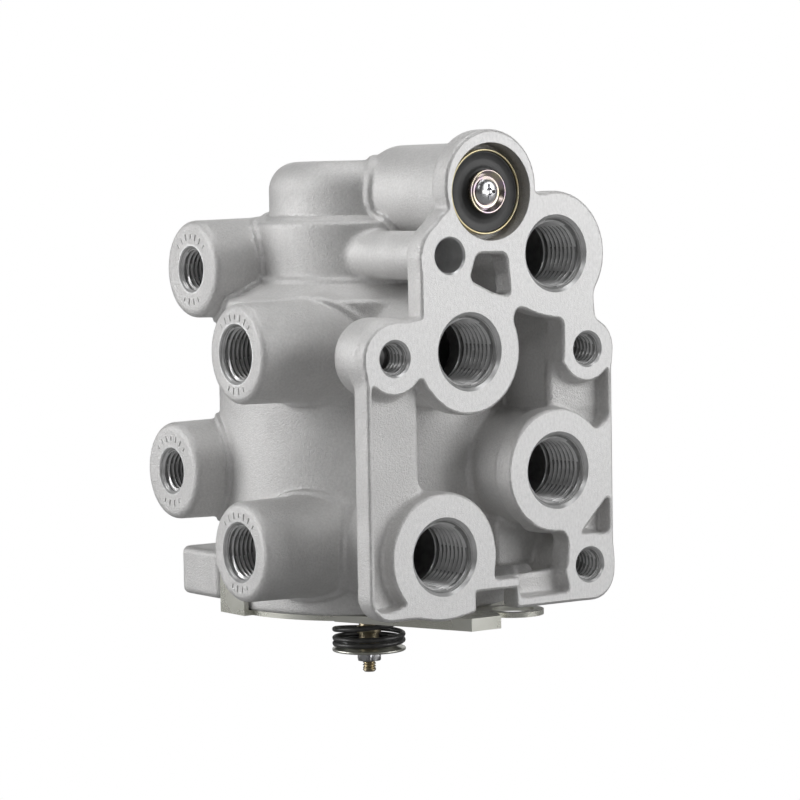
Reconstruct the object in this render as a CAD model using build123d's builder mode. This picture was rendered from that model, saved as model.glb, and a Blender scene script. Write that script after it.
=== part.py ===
from build123d import *
import os

# Multiport air relay valve: a cast aluminium body with a flat mounting face full of tapped ports,
# tapped side bosses, a sprung exhaust check in the face and a sprung drain stem underneath.
# Millimetres. The mounting face is the plane Y = 0 and looks along -Y, +X is to the right of
# someone facing it and +Z is up. The origin is the centre of the supply port's mouth.

# ---- the body's vertical axis and its stacked cylinders ----
AXIS_X = 8.1
AXIS_Y = 64.0
CAP_R = 27.6
SHOULDER_R = 32.3
BARREL_R = 43.5
CAP_TOP_Z = 54.6
CAP_EDGE = 8.5
CAP_FOOT_Z = 37.0
SHOULDER_FOOT_Z = 19.5
BARREL_TOP_Z = 13.5
BODY_BOTTOM_Z = -76.2

# ---- mounting flange ----
FLANGE_LEFT_X = -35.4
FLANGE_RIGHT_X = 51.6
FLANGE_BOTTOM_Z = -74.1
FLANGE_T = 7.0
RECESS_DEPTH = 4.6
LIP = 1.9
LAND_R = 17.9

# ---- taper-threaded ports: wall radius, mouth radius, threaded depth, passage radius ----
HALF_INCH = (10.3, 11.2, 17.0, 9.0)
THREE_EIGHTHS = (8.3, 8.95, 14.0, 5.5)
QUARTER_INCH = (6.6, 7.2, 12.0, 4.5)
BOLT_R = 4.75
BOLT_MOUTH_R = 5.35
BOLT_DEPTH = 14.0
BOLT_B_DEPTH = 10.5
PILOT_R = 4.9
PILOT_DEPTH = 26.0

# flange features, as (x, z)
SUPPLY = (0.0, 0.0)
UPPER_PORT = (31.2, 26.9)
MIDDLE_PORT = (31.0, -35.4)
LOWER_PORT = (-9.7, -57.2)
EXHAUST = (8.3, 44.8)
PILOT = (-6.5, 27.1)
BOLT_LEFT = (-25.8, -0.9)
BOLT_RIGHT = (42.3, -0.9)
BOLT_LOW = (42.3, -63.6)

# side bosses on the left, as (y, z, face x, port size); the right side mirrors them about AXIS_X
BOSSES = [
    (84.0, 23.4, -40.0, QUARTER_INCH),
    (41.0, 0.2, -52.2, THREE_EIGHTHS),
    (87.0, -36.1, -46.3, QUARTER_INCH),
    (41.0, -56.0, -52.2, THREE_EIGHTHS),
]
BOSS_FACE_R = 14.3
BOSS_ROOT_R = 15.2
BOSS_EDGE = 2.6

# ---- bores inside the body, on the vertical axis ----
TOP_BORE_R = 22.0
TOP_BORE_FLOOR_Z = 16.0
TOP_BORE_ROOF_Z = 48.5
SEAT_BORE_R = 9.5
SEAT_Z = 4.0
MID_CHAMBER_R = 31.0
MID_FLOOR_Z = -22.0
GUIDE_BORE_R = 16.0
GUIDE_STOP_R = 14.5
GUIDE_STOP_Z = -24.0
MAIN_BORE_R = 36.0
MAIN_ROOF_Z = -32.0
RUNNING_FIT = 0.05

# ---- bottom end ----
CAP_T = 9.0
PLATE_T = 1.5
PLATE_R = 42.6
SCREW_CIRCLE_R = 39.8
SCREW_R = 2.0
STEM_R = 2.0
SLEEVE_R = 3.0
STEM_END_Z = -98.9
SCREW_DEPTH = 12.0

# ---- poppet guide's retaining ring ----
RING_T = 1.4
RING_Z = -30.4

# ---- exhaust check in the mounting face ----
EXHAUST_BORE_R = 13.8
EXHAUST_BORE_DEPTH = 6.6
EXHAUST_PASSAGE_R = 8.0
EXHAUST_PASSAGE_DEPTH = 27.0
EXHAUST_LINK_R = 3.4
EXHAUST_TUBE_R = 14.0
EXHAUST_TUBE_LENGTH = 41.0

# how far each side passage runs past x = 0, and each face port's passage depth
BOSS_PASSAGE_PAST_ZERO = -4.0
FACE_PORTS = [
    (SUPPLY, 36.0),
    (UPPER_PORT, 44.5),
    (MIDDLE_PORT, 40.0),
    (LOWER_PORT, 37.0),
]

PLATE_BOTTOM_Z = BODY_BOTTOM_Z - PLATE_T
FRONT = Plane.XZ
os.makedirs("parts", exist_ok=True)


def keep(piece, label):
    """Label a finished piece and write its STEP file."""
    piece.part.label = label
    export_step(piece.part, f"parts/{label}.step")


def port_plane(x, z):
    """The plane of a port's mouth on the mounting face, looking out of it."""
    return Plane(origin=(x, 0, z), x_dir=(1, 0, 0), z_dir=(0, -1, 0))


def side_plane(x, y, z, side):
    """A plane that looks out of the left (side -1) or right (side 1) of the body."""
    return Plane(origin=(x, y, z), x_dir=(0, side, 0), z_dir=(side, 0, 0))


def boss_face_x(face_x, side):
    """The x of a side boss's face; the right side mirrors the left about the axis."""
    return face_x if side < 0 else 2 * AXIS_X - face_x


def o_ring(label, outer_r, z, section_r):
    """A ring of round section about the body's axis."""
    with BuildPart() as ring:
        with BuildSketch(Plane.XZ.offset(-AXIS_Y)):
            with Locations((AXIS_X + outer_r - section_r, z)):
                Circle(section_r)
        revolve(axis=Axis((AXIS_X, AXIS_Y, 0), (0, 0, 1)))
    keep(ring, label)


def axial_profile(points, mode=Mode.ADD):
    """Revolve a half section, given as (radius, z), about the body's axis."""
    with BuildSketch(Plane.XZ.offset(-AXIS_Y)) as half:
        with BuildLine():
            Polyline([(AXIS_X + r, z) for r, z in points], close=True)
        make_face()
    revolve(half.sketch, axis=Axis((AXIS_X, AXIS_Y, 0), (0, 0, 1)), mode=mode)


def coil(label, plane, mean_r, wire_r, length, turns):
    """A compression spring that stands on a plane and runs along its normal."""
    with BuildPart() as spring:
        with BuildLine() as path:
            Helix(
                pitch=(length - 2 * wire_r) / turns,
                height=length - 2 * wire_r,
                radius=mean_r,
                center=plane.origin + plane.z_dir * wire_r,
                direction=plane.z_dir,
            )
        with BuildSketch(Plane(origin=path.line @ 0, z_dir=path.line % 0)):
            Circle(wire_r)
        sweep(path=path.line, is_frenet=True)
    keep(spring, label)


# ---------------------------------------------------------------- valve body casting
LANDS = [
    (SUPPLY, LAND_R),
    (UPPER_PORT, LAND_R),
    (MIDDLE_PORT, LAND_R),
    (LOWER_PORT, LAND_R + 0.3),
    (PILOT, 10.2),
    (BOLT_LEFT, 10.4),
    (BOLT_RIGHT, 9.5),
    (BOLT_LOW, 9.3),
]
EXHAUST_LAND = (8.3, 46.3, 16.1)
# webs on the right, as (x range, z range, nearest y)
RIGHT_WEBS = [
    ((33.0, 49.0), (-19.0, 12.0), 5.0),
    ((20.0, 48.0), (-64.0, -50.0), 15.0),
]
WEB_FAR_Y = 45.0

with BuildPart() as valve_body:
    # flange outline: a rounded plate below, lands joined by webs above
    with BuildSketch(FRONT):
        with BuildLine():
            FilletPolyline(
                (FLANGE_LEFT_X, BOLT_LEFT[1]),
                (FLANGE_LEFT_X, FLANGE_BOTTOM_Z),
                (FLANGE_RIGHT_X, FLANGE_BOTTOM_Z),
                (FLANGE_RIGHT_X, BOLT_RIGHT[1]),
                radius=9.0,
                close=False,
            )
            Line((FLANGE_RIGHT_X, BOLT_RIGHT[1]), (FLANGE_LEFT_X, BOLT_LEFT[1]))
        make_face()
        for (land_x, land_z), land_r in LANDS:
            with Locations((land_x, land_z)):
                Circle(land_r)
        with Locations(EXHAUST_LAND[:2]):
            Circle(EXHAUST_LAND[2])
        with BuildLine():
            Polyline(
                (BOLT_LEFT[0], 8.9),
                (PILOT[0] - 10.2, 10.4),
                (PILOT[0] - 10.2, PILOT[1]),
                (-9.4, 38.6),
                (6.0, 48.0),
                (26.0, 44.0),
                (UPPER_PORT[0] + 14.0, UPPER_PORT[1] - 11.0),
                (UPPER_PORT[0] + 14.6, 8.0),
                (UPPER_PORT[0] + 14.6, -4.0),
                (BOLT_LEFT[0], -4.0),
                close=True,
            )
        make_face()
    extrude(amount=-FLANGE_T)

    # stacked cylinders about the vertical axis
    axial_profile(
        [
            (0, BODY_BOTTOM_Z),
            (BARREL_R, BODY_BOTTOM_Z),
            (BARREL_R, BARREL_TOP_Z),
            (SHOULDER_R, SHOULDER_FOOT_Z),
            (SHOULDER_R, CAP_FOOT_Z - 1.5),
            (SHOULDER_R - 1.5, CAP_FOOT_Z),
            (CAP_R, CAP_FOOT_Z),
            (CAP_R, CAP_TOP_Z - CAP_EDGE),
            (CAP_R - 0.13 * CAP_EDGE, CAP_TOP_Z - 0.5 * CAP_EDGE),
            (CAP_R - 0.5 * CAP_EDGE, CAP_TOP_Z - 0.13 * CAP_EDGE),
            (CAP_R - CAP_EDGE, CAP_TOP_Z),
            (0, CAP_TOP_Z),
        ]
    )

    # port tubes and bolt lugs that run back from the flange into the body
    with BuildSketch(FRONT):
        for tube_x, tube_z in (SUPPLY, UPPER_PORT, MIDDLE_PORT, LOWER_PORT):
            with Locations((tube_x, tube_z)):
                Circle(LAND_R - 1.4)
    extrude(amount=-46.0)
    with BuildSketch(FRONT):
        with Locations(EXHAUST):
            Circle(EXHAUST_TUBE_R)
    extrude(amount=-EXHAUST_TUBE_LENGTH)
    # its far end tapers into the cap
    with BuildSketch(FRONT.offset(-EXHAUST_TUBE_LENGTH)):
        with Locations(EXHAUST):
            Circle(EXHAUST_TUBE_R)
    with BuildSketch(FRONT.offset(-EXHAUST_TUBE_LENGTH - 9.0)):
        with Locations(EXHAUST):
            Circle(EXHAUST_TUBE_R - 4.6)
    loft()
    with BuildSketch(FRONT):
        with Locations(PILOT):
            Circle(7.0)
    extrude(amount=-45.0)
    with BuildSketch(FRONT.offset(-2.0)):
        with Locations(BOLT_LEFT):
            Circle(11.2)
    extrude(amount=-13.0)
    with BuildSketch(FRONT):
        with Locations(BOLT_RIGHT, BOLT_LOW):
            Circle(9.3)
    extrude(amount=-17.0)
    # thick webs behind the right-hand bolt lugs, back to the barrel
    for (low_x, high_x), (low_z, high_z), near_y in RIGHT_WEBS:
        with BuildSketch(FRONT.offset(-near_y)):
            with Locations(((low_x + high_x) / 2, (low_z + high_z) / 2)):
                Rectangle(high_x - low_x, high_z - low_z)
        extrude(amount=near_y - WEB_FAR_Y)
    # rib from the left bolt lug back to the barrel
    with BuildSketch(Plane.XY.offset(BOLT_LEFT[1] + 3.0)):
        with BuildLine():
            Polyline((-31.0, 5.0), (-6.0, 5.0), (-6.0, 40.0), (-18.0, 40.0), close=True)
        make_face()
    extrude(amount=-6.0)

    # side bosses, a little conical, with rounded rims
    for boss_y, boss_z, face_x, _ in BOSSES:
        for side in (-1, 1):
            reach = abs(boss_face_x(face_x, side) - AXIS_X) - 10.0
            foot = side_plane(AXIS_X + side * 10.0, boss_y, boss_z, side)
            with BuildSketch(foot):
                Circle(BOSS_ROOT_R)
            with BuildSketch(foot.offset(reach - BOSS_EDGE)):
                Circle(BOSS_FACE_R)
            loft()
            with BuildSketch(foot.offset(reach - BOSS_EDGE)):
                Circle(BOSS_FACE_R)
            with BuildSketch(foot.offset(reach - 0.8)):
                Circle(BOSS_FACE_R - 0.9)
            loft()
            with BuildSketch(foot.offset(reach - 0.8)):
                Circle(BOSS_FACE_R - 0.9)
            with BuildSketch(foot.offset(reach)):
                Circle(BOSS_FACE_R - BOSS_EDGE)
            loft()

    # cast feet towards the back of the base
    for foot_x in (-37.0, 2 * AXIS_X + 37.0):
        with BuildSketch(Plane.XY.offset(BODY_BOTTOM_Z + 1.8)):
            with Locations(((foot_x + AXIS_X) / 2, 87.5)):
                RectangleRounded(abs(foot_x - AXIS_X), 22.0, 4.0)
        extrude(amount=14.4)

    # recessed webs between the lips and the lands
    with BuildSketch(FRONT):
        with BuildLine():
            FilletPolyline(
                (FLANGE_LEFT_X + LIP, BOLT_LEFT[1] - 6.0),
                (FLANGE_LEFT_X + LIP, -71.0),
                (LOWER_PORT[0] - 14.5, -71.0),
                (LOWER_PORT[0], LOWER_PORT[1]),
                (-15.0, -30.0),
                (-13.0, -6.0),
                radius=3.0,
                close=True,
            )
        make_face()
        with BuildLine():
            Polyline(
                (31.0, -5.0),
                (FLANGE_RIGHT_X - LIP, -5.0),
                (FLANGE_RIGHT_X - LIP, -24.0),
                (46.0, -24.0),
                (MIDDLE_PORT[0], MIDDLE_PORT[1]),
                (30.0, -12.0),
                close=True,
            )
        make_face()
        with BuildLine():
            FilletPolyline(
                (FLANGE_RIGHT_X - LIP, -44.5),
                (FLANGE_RIGHT_X - LIP, -54.6),
                (40.0, -54.6),
                radius=1.2,
                close=True,
            )
        make_face()
        with BuildLine():
            FilletPolyline(
                (16.9, -52.0),
                (16.9, -71.0),
                (34.4, -71.0),
                (34.4, -55.6),
                (30.0, -50.0),
                radius=1.6,
                close=True,
            )
        make_face()
        for (land_x, land_z), land_r in LANDS:
            with Locations((land_x, land_z)):
                Circle(land_r, mode=Mode.SUBTRACT)
    extrude(amount=-RECESS_DEPTH, mode=Mode.SUBTRACT)

    # windows right through the flange, and the notch in its bottom edge
    with BuildSketch(FRONT):
        with BuildLine():
            FilletPolyline(
                (3.2, 27.4),
                (13.2, 27.2),
                (14.4, 15.4),
                (11.2, 15.4),
                (0.8, 20.2),
                radius=1.5,
                close=True,
            )
        make_face()
        with BuildLine():
            FilletPolyline(
                (15.6, 8.0),
                (17.4, 12.0),
                (23.3, 9.9),
                (33.4, 8.0),
                (33.3, -3.0),
                (31.8, -9.0),
                (31.8, -30.0),
                (24.0, -42.0),
                (22.6, -52.7),
                (33.8, -54.2),
                (33.8, -64.2),
                (16.4, -65.0),
                (7.7, -65.0),
                (7.7, -56.0),
                (-6.0, -44.0),
                (-15.0, -37.0),
                (-15.0, -10.8),
                (-12.0, -6.0),
                (0.0, -4.0),
                radius=1.2,
                close=True,
            )
        make_face()
        for (land_x, land_z), land_r in LANDS[:4]:
            with Locations((land_x, land_z)):
                Circle(land_r, mode=Mode.SUBTRACT)
        with BuildLine():
            Polyline((1.3, -68.2), (15.4, -68.2), (15.4, -78.0), (1.3, -78.0), close=True)
        make_face()
    extrude(amount=-FLANGE_T, mode=Mode.SUBTRACT)

    # bores on the vertical axis, open at the bottom
    axial_profile(
        [
            (0, BODY_BOTTOM_Z - 1.0),
            (MAIN_BORE_R, BODY_BOTTOM_Z - 1.0),
            (MAIN_BORE_R, MAIN_ROOF_Z),
            (GUIDE_BORE_R, MAIN_ROOF_Z),
            (GUIDE_BORE_R, GUIDE_STOP_Z),
            (GUIDE_STOP_R, GUIDE_STOP_Z),
            (GUIDE_STOP_R, MID_FLOOR_Z),
            (MID_CHAMBER_R, MID_FLOOR_Z),
            (MID_CHAMBER_R, SEAT_Z),
            (SEAT_BORE_R, SEAT_Z),
            (SEAT_BORE_R, TOP_BORE_FLOOR_Z),
            (TOP_BORE_R, TOP_BORE_FLOOR_Z),
            (TOP_BORE_R, TOP_BORE_ROOF_Z),
            (0, TOP_BORE_ROOF_Z),
        ],
        mode=Mode.SUBTRACT,
    )
    # groove for the poppet guide's retaining ring
    axial_profile(
        [
            (GUIDE_BORE_R - 1.0, RING_Z),
            (GUIDE_BORE_R + 1.3, RING_Z),
            (GUIDE_BORE_R + 1.3, RING_Z + RING_T + 0.1),
            (GUIDE_BORE_R - 1.0, RING_Z + RING_T + 0.1),
        ],
        mode=Mode.SUBTRACT,
    )

    # tapped ports in the mounting face, each with a passage into its chamber
    for (port_x, port_z), passage_depth in FACE_PORTS:
        wall_r, mouth_r, thread_depth, passage_r = HALF_INCH
        with Locations(port_plane(port_x, port_z)):
            CounterSinkHole(wall_r, mouth_r, thread_depth, 90)
            Hole(passage_r, passage_depth)
    # tapped ports in the side bosses
    for boss_y, boss_z, face_x, (wall_r, mouth_r, thread_depth, passage_r) in BOSSES:
        for side in (-1, 1):
            with Locations(side_plane(boss_face_x(face_x, side), boss_y, boss_z, side)):
                CounterSinkHole(wall_r, mouth_r, thread_depth, 90)
                Hole(passage_r, abs(face_x) + BOSS_PASSAGE_PAST_ZERO)
    # bolt holes and the plain pilot passage
    with Locations(port_plane(*BOLT_LEFT)):
        CounterSinkHole(BOLT_R, BOLT_MOUTH_R, BOLT_B_DEPTH, 90)
    for bolt in (BOLT_RIGHT, BOLT_LOW):
        with Locations(port_plane(*bolt)):
            CounterSinkHole(BOLT_R, BOLT_MOUTH_R, BOLT_DEPTH, 90)
    with Locations(port_plane(*PILOT)):
        CounterSinkHole(PILOT_R, PILOT_R + 0.5, PILOT_DEPTH, 90)
    # exhaust bore, its seat and the passage behind it
    with Locations(port_plane(*EXHAUST)):
        Hole(EXHAUST_BORE_R, EXHAUST_BORE_DEPTH)
        Hole(EXHAUST_PASSAGE_R, EXHAUST_PASSAGE_DEPTH)
        Hole(EXHAUST_LINK_R, AXIS_Y - TOP_BORE_R + 2.0)
    # holes for the cover screws
    with BuildSketch(Plane.XY.offset(BODY_BOTTOM_Z)):
        with Locations((AXIS_X, AXIS_Y)):
            with PolarLocations(SCREW_CIRCLE_R, 3, start_angle=30):
                Circle(SCREW_R + RUNNING_FIT)
    extrude(amount=SCREW_DEPTH, mode=Mode.SUBTRACT)
keep(valve_body, "valve_body")


# ---------------------------------------------------------------- relay piston and poppet
PISTON_R = TOP_BORE_R - RUNNING_FIT
PISTON_FOOT_Z = 33.0
PISTON_TOP_Z = 41.0
STEM_TUBE_R = 6.5
STEM_TUBE_BORE_R = 4.6
STEM_TUBE_END_Z = SEAT_Z + 0.2
RING_SECTION_R = 1.3

with BuildPart() as relay_piston:
    axial_profile(
        [
            (STEM_TUBE_BORE_R, STEM_TUBE_END_Z),
            (STEM_TUBE_R, STEM_TUBE_END_Z),
            (STEM_TUBE_R, PISTON_FOOT_Z - 4.0),
            (STEM_TUBE_R + 4.0, PISTON_FOOT_Z),
            (PISTON_R, PISTON_FOOT_Z),
            (PISTON_R, 35.6),
            (PISTON_R - 2.75, 35.6),
            (PISTON_R - 2.75, 38.4),
            (PISTON_R, 38.4),
            (PISTON_R, PISTON_TOP_Z),
            (9.0, PISTON_TOP_Z),
            (8.0, PISTON_TOP_Z + 4.0),
            (0, PISTON_TOP_Z + 4.0),
            (0, 31.0),
            (STEM_TUBE_BORE_R, 31.0),
        ]
    )
keep(relay_piston, "relay_piston")
o_ring("relay_piston_o_ring", TOP_BORE_R - 0.02, 37.0, RING_SECTION_R)

POPPET_HEAD_R = 12.0
POPPET_HEAD_Z = -1.0
POPPET_SEAL_Z = 1.6
POPPET_STEM_R = 6.0
POPPET_BORE_R = 3.4

with BuildPart() as relay_poppet:
    axial_profile(
        [
            (POPPET_BORE_R, -34.0),
            (POPPET_STEM_R, -34.0),
            (POPPET_STEM_R, POPPET_HEAD_Z - 2.0),
            (POPPET_STEM_R + 2.0, POPPET_HEAD_Z),
            (POPPET_HEAD_R, POPPET_HEAD_Z),
            (POPPET_HEAD_R, POPPET_SEAL_Z),
            (POPPET_BORE_R, POPPET_SEAL_Z),
        ]
    )
keep(relay_poppet, "relay_poppet")

with BuildPart() as relay_poppet_seal:
    axial_profile(
        [
            (POPPET_BORE_R, POPPET_SEAL_Z),
            (POPPET_HEAD_R - 0.4, POPPET_SEAL_Z),
            (POPPET_HEAD_R - 0.4, SEAT_Z - 0.1),
            (POPPET_BORE_R, SEAT_Z - 0.1),
        ]
    )
keep(relay_poppet_seal, "relay_poppet_seal")

GUIDE_FLANGE_Z = -28.5
GUIDE_FLANGE_TOP_Z = GUIDE_STOP_Z - 0.1
GUIDE_TUBE_R = 8.4
GUIDE_TUBE_TOP_Z = -9.0

with BuildPart() as poppet_guide:
    axial_profile(
        [
            (POPPET_STEM_R + RUNNING_FIT, GUIDE_FLANGE_Z),
            (GUIDE_BORE_R - RUNNING_FIT, GUIDE_FLANGE_Z),
            (GUIDE_BORE_R - RUNNING_FIT, -27.6),
            (13.6, -27.6),
            (13.6, -25.2),
            (GUIDE_BORE_R - RUNNING_FIT, -25.2),
            (GUIDE_BORE_R - RUNNING_FIT, GUIDE_FLANGE_TOP_Z),
            (GUIDE_TUBE_R, GUIDE_FLANGE_TOP_Z),
            (GUIDE_TUBE_R, GUIDE_TUBE_TOP_Z),
            (POPPET_STEM_R + RUNNING_FIT, GUIDE_TUBE_TOP_Z),
        ]
    )
keep(poppet_guide, "poppet_guide")
o_ring("poppet_guide_o_ring", GUIDE_BORE_R - 0.02, -26.4, 1.05)

with BuildPart() as guide_retaining_ring:
    with BuildSketch(Plane.XY.offset(RING_Z + 0.05)):
        with Locations((AXIS_X, AXIS_Y)):
            Circle(GUIDE_BORE_R + 1.2)
            Circle(GUIDE_BORE_R - 1.6, mode=Mode.SUBTRACT)
        with Locations((AXIS_X + GUIDE_BORE_R, AXIS_Y)):
            Rectangle(8.0, 7.0, mode=Mode.SUBTRACT)
    extrude(amount=RING_T)
keep(guide_retaining_ring, "guide_retaining_ring")

AXIS_PLANE = Plane(origin=(AXIS_X, AXIS_Y, 0))
coil(
    "relay_poppet_spring",
    AXIS_PLANE.offset(GUIDE_FLANGE_TOP_Z + 0.05),
    10.2,
    0.8,
    POPPET_HEAD_Z - GUIDE_FLANGE_TOP_Z - 0.1,
    5,
)

# ---------------------------------------------------------------- emergency piston
EMERGENCY_R = MAIN_BORE_R - RUNNING_FIT
EMERGENCY_FOOT_Z = -50.5
EMERGENCY_TOP_Z = -42.5
STOP_RING_INNER_R = 19.0
STOP_RING_OUTER_R = 24.0

with BuildPart() as emergency_piston:
    axial_profile(
        [
            (0, EMERGENCY_FOOT_Z + 1.5),
            (10.0, EMERGENCY_FOOT_Z + 1.5),
            (11.5, EMERGENCY_FOOT_Z),
            (EMERGENCY_R, EMERGENCY_FOOT_Z),
            (EMERGENCY_R, -47.9),
            (EMERGENCY_R - 2.75, -47.9),
            (EMERGENCY_R - 2.75, -45.1),
            (EMERGENCY_R, -45.1),
            (EMERGENCY_R, EMERGENCY_TOP_Z),
            (STOP_RING_OUTER_R, EMERGENCY_TOP_Z),
            (STOP_RING_OUTER_R, MAIN_ROOF_Z - 0.1),
            (STOP_RING_INNER_R, MAIN_ROOF_Z - 0.1),
            (STOP_RING_INNER_R, EMERGENCY_TOP_Z),
            (0, EMERGENCY_TOP_Z),
        ]
    )
keep(emergency_piston, "emergency_piston")
o_ring("emergency_piston_o_ring", MAIN_BORE_R - 0.02, -46.5, RING_SECTION_R)

CAP_INNER_Z = BODY_BOTTOM_Z + CAP_T
coil(
    "emergency_piston_spring",
    AXIS_PLANE.offset(CAP_INNER_Z + 0.05),
    24.0,
    1.6,
    EMERGENCY_FOOT_Z - CAP_INNER_Z - 0.1,
    3,
)

# ---------------------------------------------------------------- bottom cap and cover plate
DRAIN_SEAT_INNER_R = 6.4
DRAIN_SEAT_OUTER_R = 8.0
DRAIN_SEAT_Z = CAP_INNER_Z + 1.2
DRAIN_HOLE_R = 0.9
DRAIN_HOLE_CIRCLE_R = 4.7

with BuildPart() as bottom_cap:
    axial_profile(
        [
            (SLEEVE_R + RUNNING_FIT, BODY_BOTTOM_Z),
            (MAIN_BORE_R - RUNNING_FIT, BODY_BOTTOM_Z),
            (MAIN_BORE_R - RUNNING_FIT, -73.1),
            (MAIN_BORE_R - 2.8, -73.1),
            (MAIN_BORE_R - 2.8, -70.3),
            (MAIN_BORE_R - RUNNING_FIT, -70.3),
            (MAIN_BORE_R - RUNNING_FIT, CAP_INNER_Z),
            (DRAIN_SEAT_OUTER_R, CAP_INNER_Z),
            (DRAIN_SEAT_OUTER_R, DRAIN_SEAT_Z),
            (DRAIN_SEAT_INNER_R, DRAIN_SEAT_Z),
            (DRAIN_SEAT_INNER_R, CAP_INNER_Z),
            (SLEEVE_R + RUNNING_FIT, CAP_INNER_Z),
        ]
    )
    with BuildSketch(Plane.XY.offset(BODY_BOTTOM_Z)):
        with Locations((AXIS_X, AXIS_Y)):
            with PolarLocations(DRAIN_HOLE_CIRCLE_R, 6):
                Circle(DRAIN_HOLE_R)
    extrude(amount=CAP_T, mode=Mode.SUBTRACT)
keep(bottom_cap, "bottom_cap")
o_ring("bottom_cap_o_ring", MAIN_BORE_R - 0.02, -71.7, RING_SECTION_R)

TONGUE_LEFT_X = 2.2
TONGUE_RIGHT_X = 12.7
TONGUE_FRONT_Y = 4.0
SKIRT_END_Z = -79.9
SKIRT_START = (-23.6, 35.6)
EAR = (24.0, 13.2)
EAR_R = 9.0
EAR_HOLE_R = 6.2
PLATE_HOLE_R = 6.0
HOOK_X = -37.4
HOOK_FRONT_Y = 62.0
HOOK_LENGTH = 13.0
HOOK_TOP_Z = -66.5

with BuildPart() as cover_plate:
    with BuildSketch(Plane.XY.offset(PLATE_BOTTOM_Z)):
        with Locations((AXIS_X, AXIS_Y)):
            Circle(PLATE_R)
        with BuildLine():
            Polyline(
                SKIRT_START,
                (TONGUE_LEFT_X, TONGUE_FRONT_Y),
                (TONGUE_RIGHT_X, TONGUE_FRONT_Y),
                (EAR[0] - 3.0, EAR[1] + 8.0),
                (36.0, 34.0),
                (8.0, 60.0),
                close=True,
            )
        make_face()
        with Locations(EAR):
            Circle(EAR_R)
        with BuildLine():
            Polyline(
                (HOOK_X, HOOK_FRONT_Y),
                (-20.0, HOOK_FRONT_Y),
                (-20.0, HOOK_FRONT_Y + HOOK_LENGTH),
                (HOOK_X, HOOK_FRONT_Y + HOOK_LENGTH),
                close=True,
            )
        make_face()
        with Locations(EAR):
            Circle(EAR_HOLE_R, mode=Mode.SUBTRACT)
        with Locations((AXIS_X, AXIS_Y)):
            Circle(PLATE_HOLE_R, mode=Mode.SUBTRACT)
            with PolarLocations(SCREW_CIRCLE_R, 3, start_angle=30):
                Circle(SCREW_R + 0.3, mode=Mode.SUBTRACT)
    extrude(amount=PLATE_T)
    # turned-down tab at the front of the tongue
    with BuildSketch(Plane.XY.offset(SKIRT_END_Z)):
        with BuildLine():
            Polyline(
                (TONGUE_LEFT_X, TONGUE_FRONT_Y),
                (TONGUE_RIGHT_X, TONGUE_FRONT_Y),
                (TONGUE_RIGHT_X, TONGUE_FRONT_Y + PLATE_T),
                (TONGUE_LEFT_X, TONGUE_FRONT_Y + PLATE_T),
                close=True,
            )
        make_face()
    extrude(amount=PLATE_BOTTOM_Z - SKIRT_END_Z)
    # hook turned up beside the barrel
    with BuildSketch(Plane.XY.offset(PLATE_BOTTOM_Z)):
        with Locations((HOOK_X + PLATE_T / 2, HOOK_FRONT_Y + HOOK_LENGTH / 2)):
            Rectangle(PLATE_T, HOOK_LENGTH)
    extrude(amount=HOOK_TOP_Z - PLATE_BOTTOM_Z)
    # skirt under the tongue's left edge, deepest at the front
    skirt_run = Vector(TONGUE_LEFT_X - SKIRT_START[0], TONGUE_FRONT_Y - SKIRT_START[1], 0)
    skirt_plane = Plane(
        origin=(TONGUE_LEFT_X, TONGUE_FRONT_Y, PLATE_BOTTOM_Z),
        x_dir=skirt_run.normalized(),
        z_dir=skirt_run.normalized().cross(Vector(0, 0, 1)),
    )
    with BuildSketch(skirt_plane):
        with BuildLine():
            Polyline(
                (0, 0.2),
                (0, SKIRT_END_Z - PLATE_BOTTOM_Z),
                (-skirt_run.length, -0.2),
                (-skirt_run.length, 0.2),
                close=True,
            )
        make_face()
    extrude(amount=-PLATE_T)
keep(cover_plate, "cover_plate")

SCREW_HEAD_R = 3.6
SCREW_HEAD_H = 1.5
SCREW_LENGTH = 11.0
with BuildPart() as cover_screws:
    with BuildSketch(Plane.XY.offset(PLATE_BOTTOM_Z)):
        with Locations((AXIS_X, AXIS_Y)):
            with PolarLocations(SCREW_CIRCLE_R, 3, start_angle=30):
                Circle(SCREW_R)
    extrude(amount=SCREW_LENGTH)
    with BuildSketch(Plane.XY.offset(PLATE_BOTTOM_Z - SCREW_HEAD_H)):
        with Locations((AXIS_X, AXIS_Y)):
            with PolarLocations(SCREW_CIRCLE_R, 3, start_angle=30):
                Circle(SCREW_HEAD_R)
    extrude(amount=SCREW_HEAD_H)
    with BuildSketch(Plane.XY.offset(PLATE_BOTTOM_Z - SCREW_HEAD_H)):
        with Locations((AXIS_X, AXIS_Y)):
            with PolarLocations(SCREW_CIRCLE_R, 3, start_angle=30):
                RegularPolygon(1.45, 6)
    extrude(amount=0.9, mode=Mode.SUBTRACT)
keep(cover_screws, "cover_screws")

# ---------------------------------------------------------------- drain stem under the plate
SEAT_GAP = 0.1
DRAIN_DISC_Z = DRAIN_SEAT_Z + SEAT_GAP
DRAIN_DISC_T = 2.0
DRAIN_WASHER_T = 1.0
STEM_HEAD_Z = DRAIN_DISC_Z + DRAIN_DISC_T + DRAIN_WASHER_T
SPRING_CUP_TOP_Z = -91.4
SPRING_CUP_T = 1.0
STEM_NUT_T = 3.1
DRAIN_SPRING_R = 10.3
DRAIN_WIRE_R = 0.8

with BuildPart() as drain_stem:
    with BuildSketch(Plane.XY.offset(STEM_END_Z)):
        with Locations((AXIS_X, AXIS_Y)):
            Circle(STEM_R)
    extrude(amount=STEM_HEAD_Z - STEM_END_Z)
    with BuildSketch(Plane.XY.offset(STEM_HEAD_Z)):
        with Locations((AXIS_X, AXIS_Y)):
            RegularPolygon(4.0, 6)
    extrude(amount=2.8)
    chamfer(drain_stem.faces().sort_by(Axis.Z)[0].edges(), 0.5)
keep(drain_stem, "drain_stem")


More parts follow.
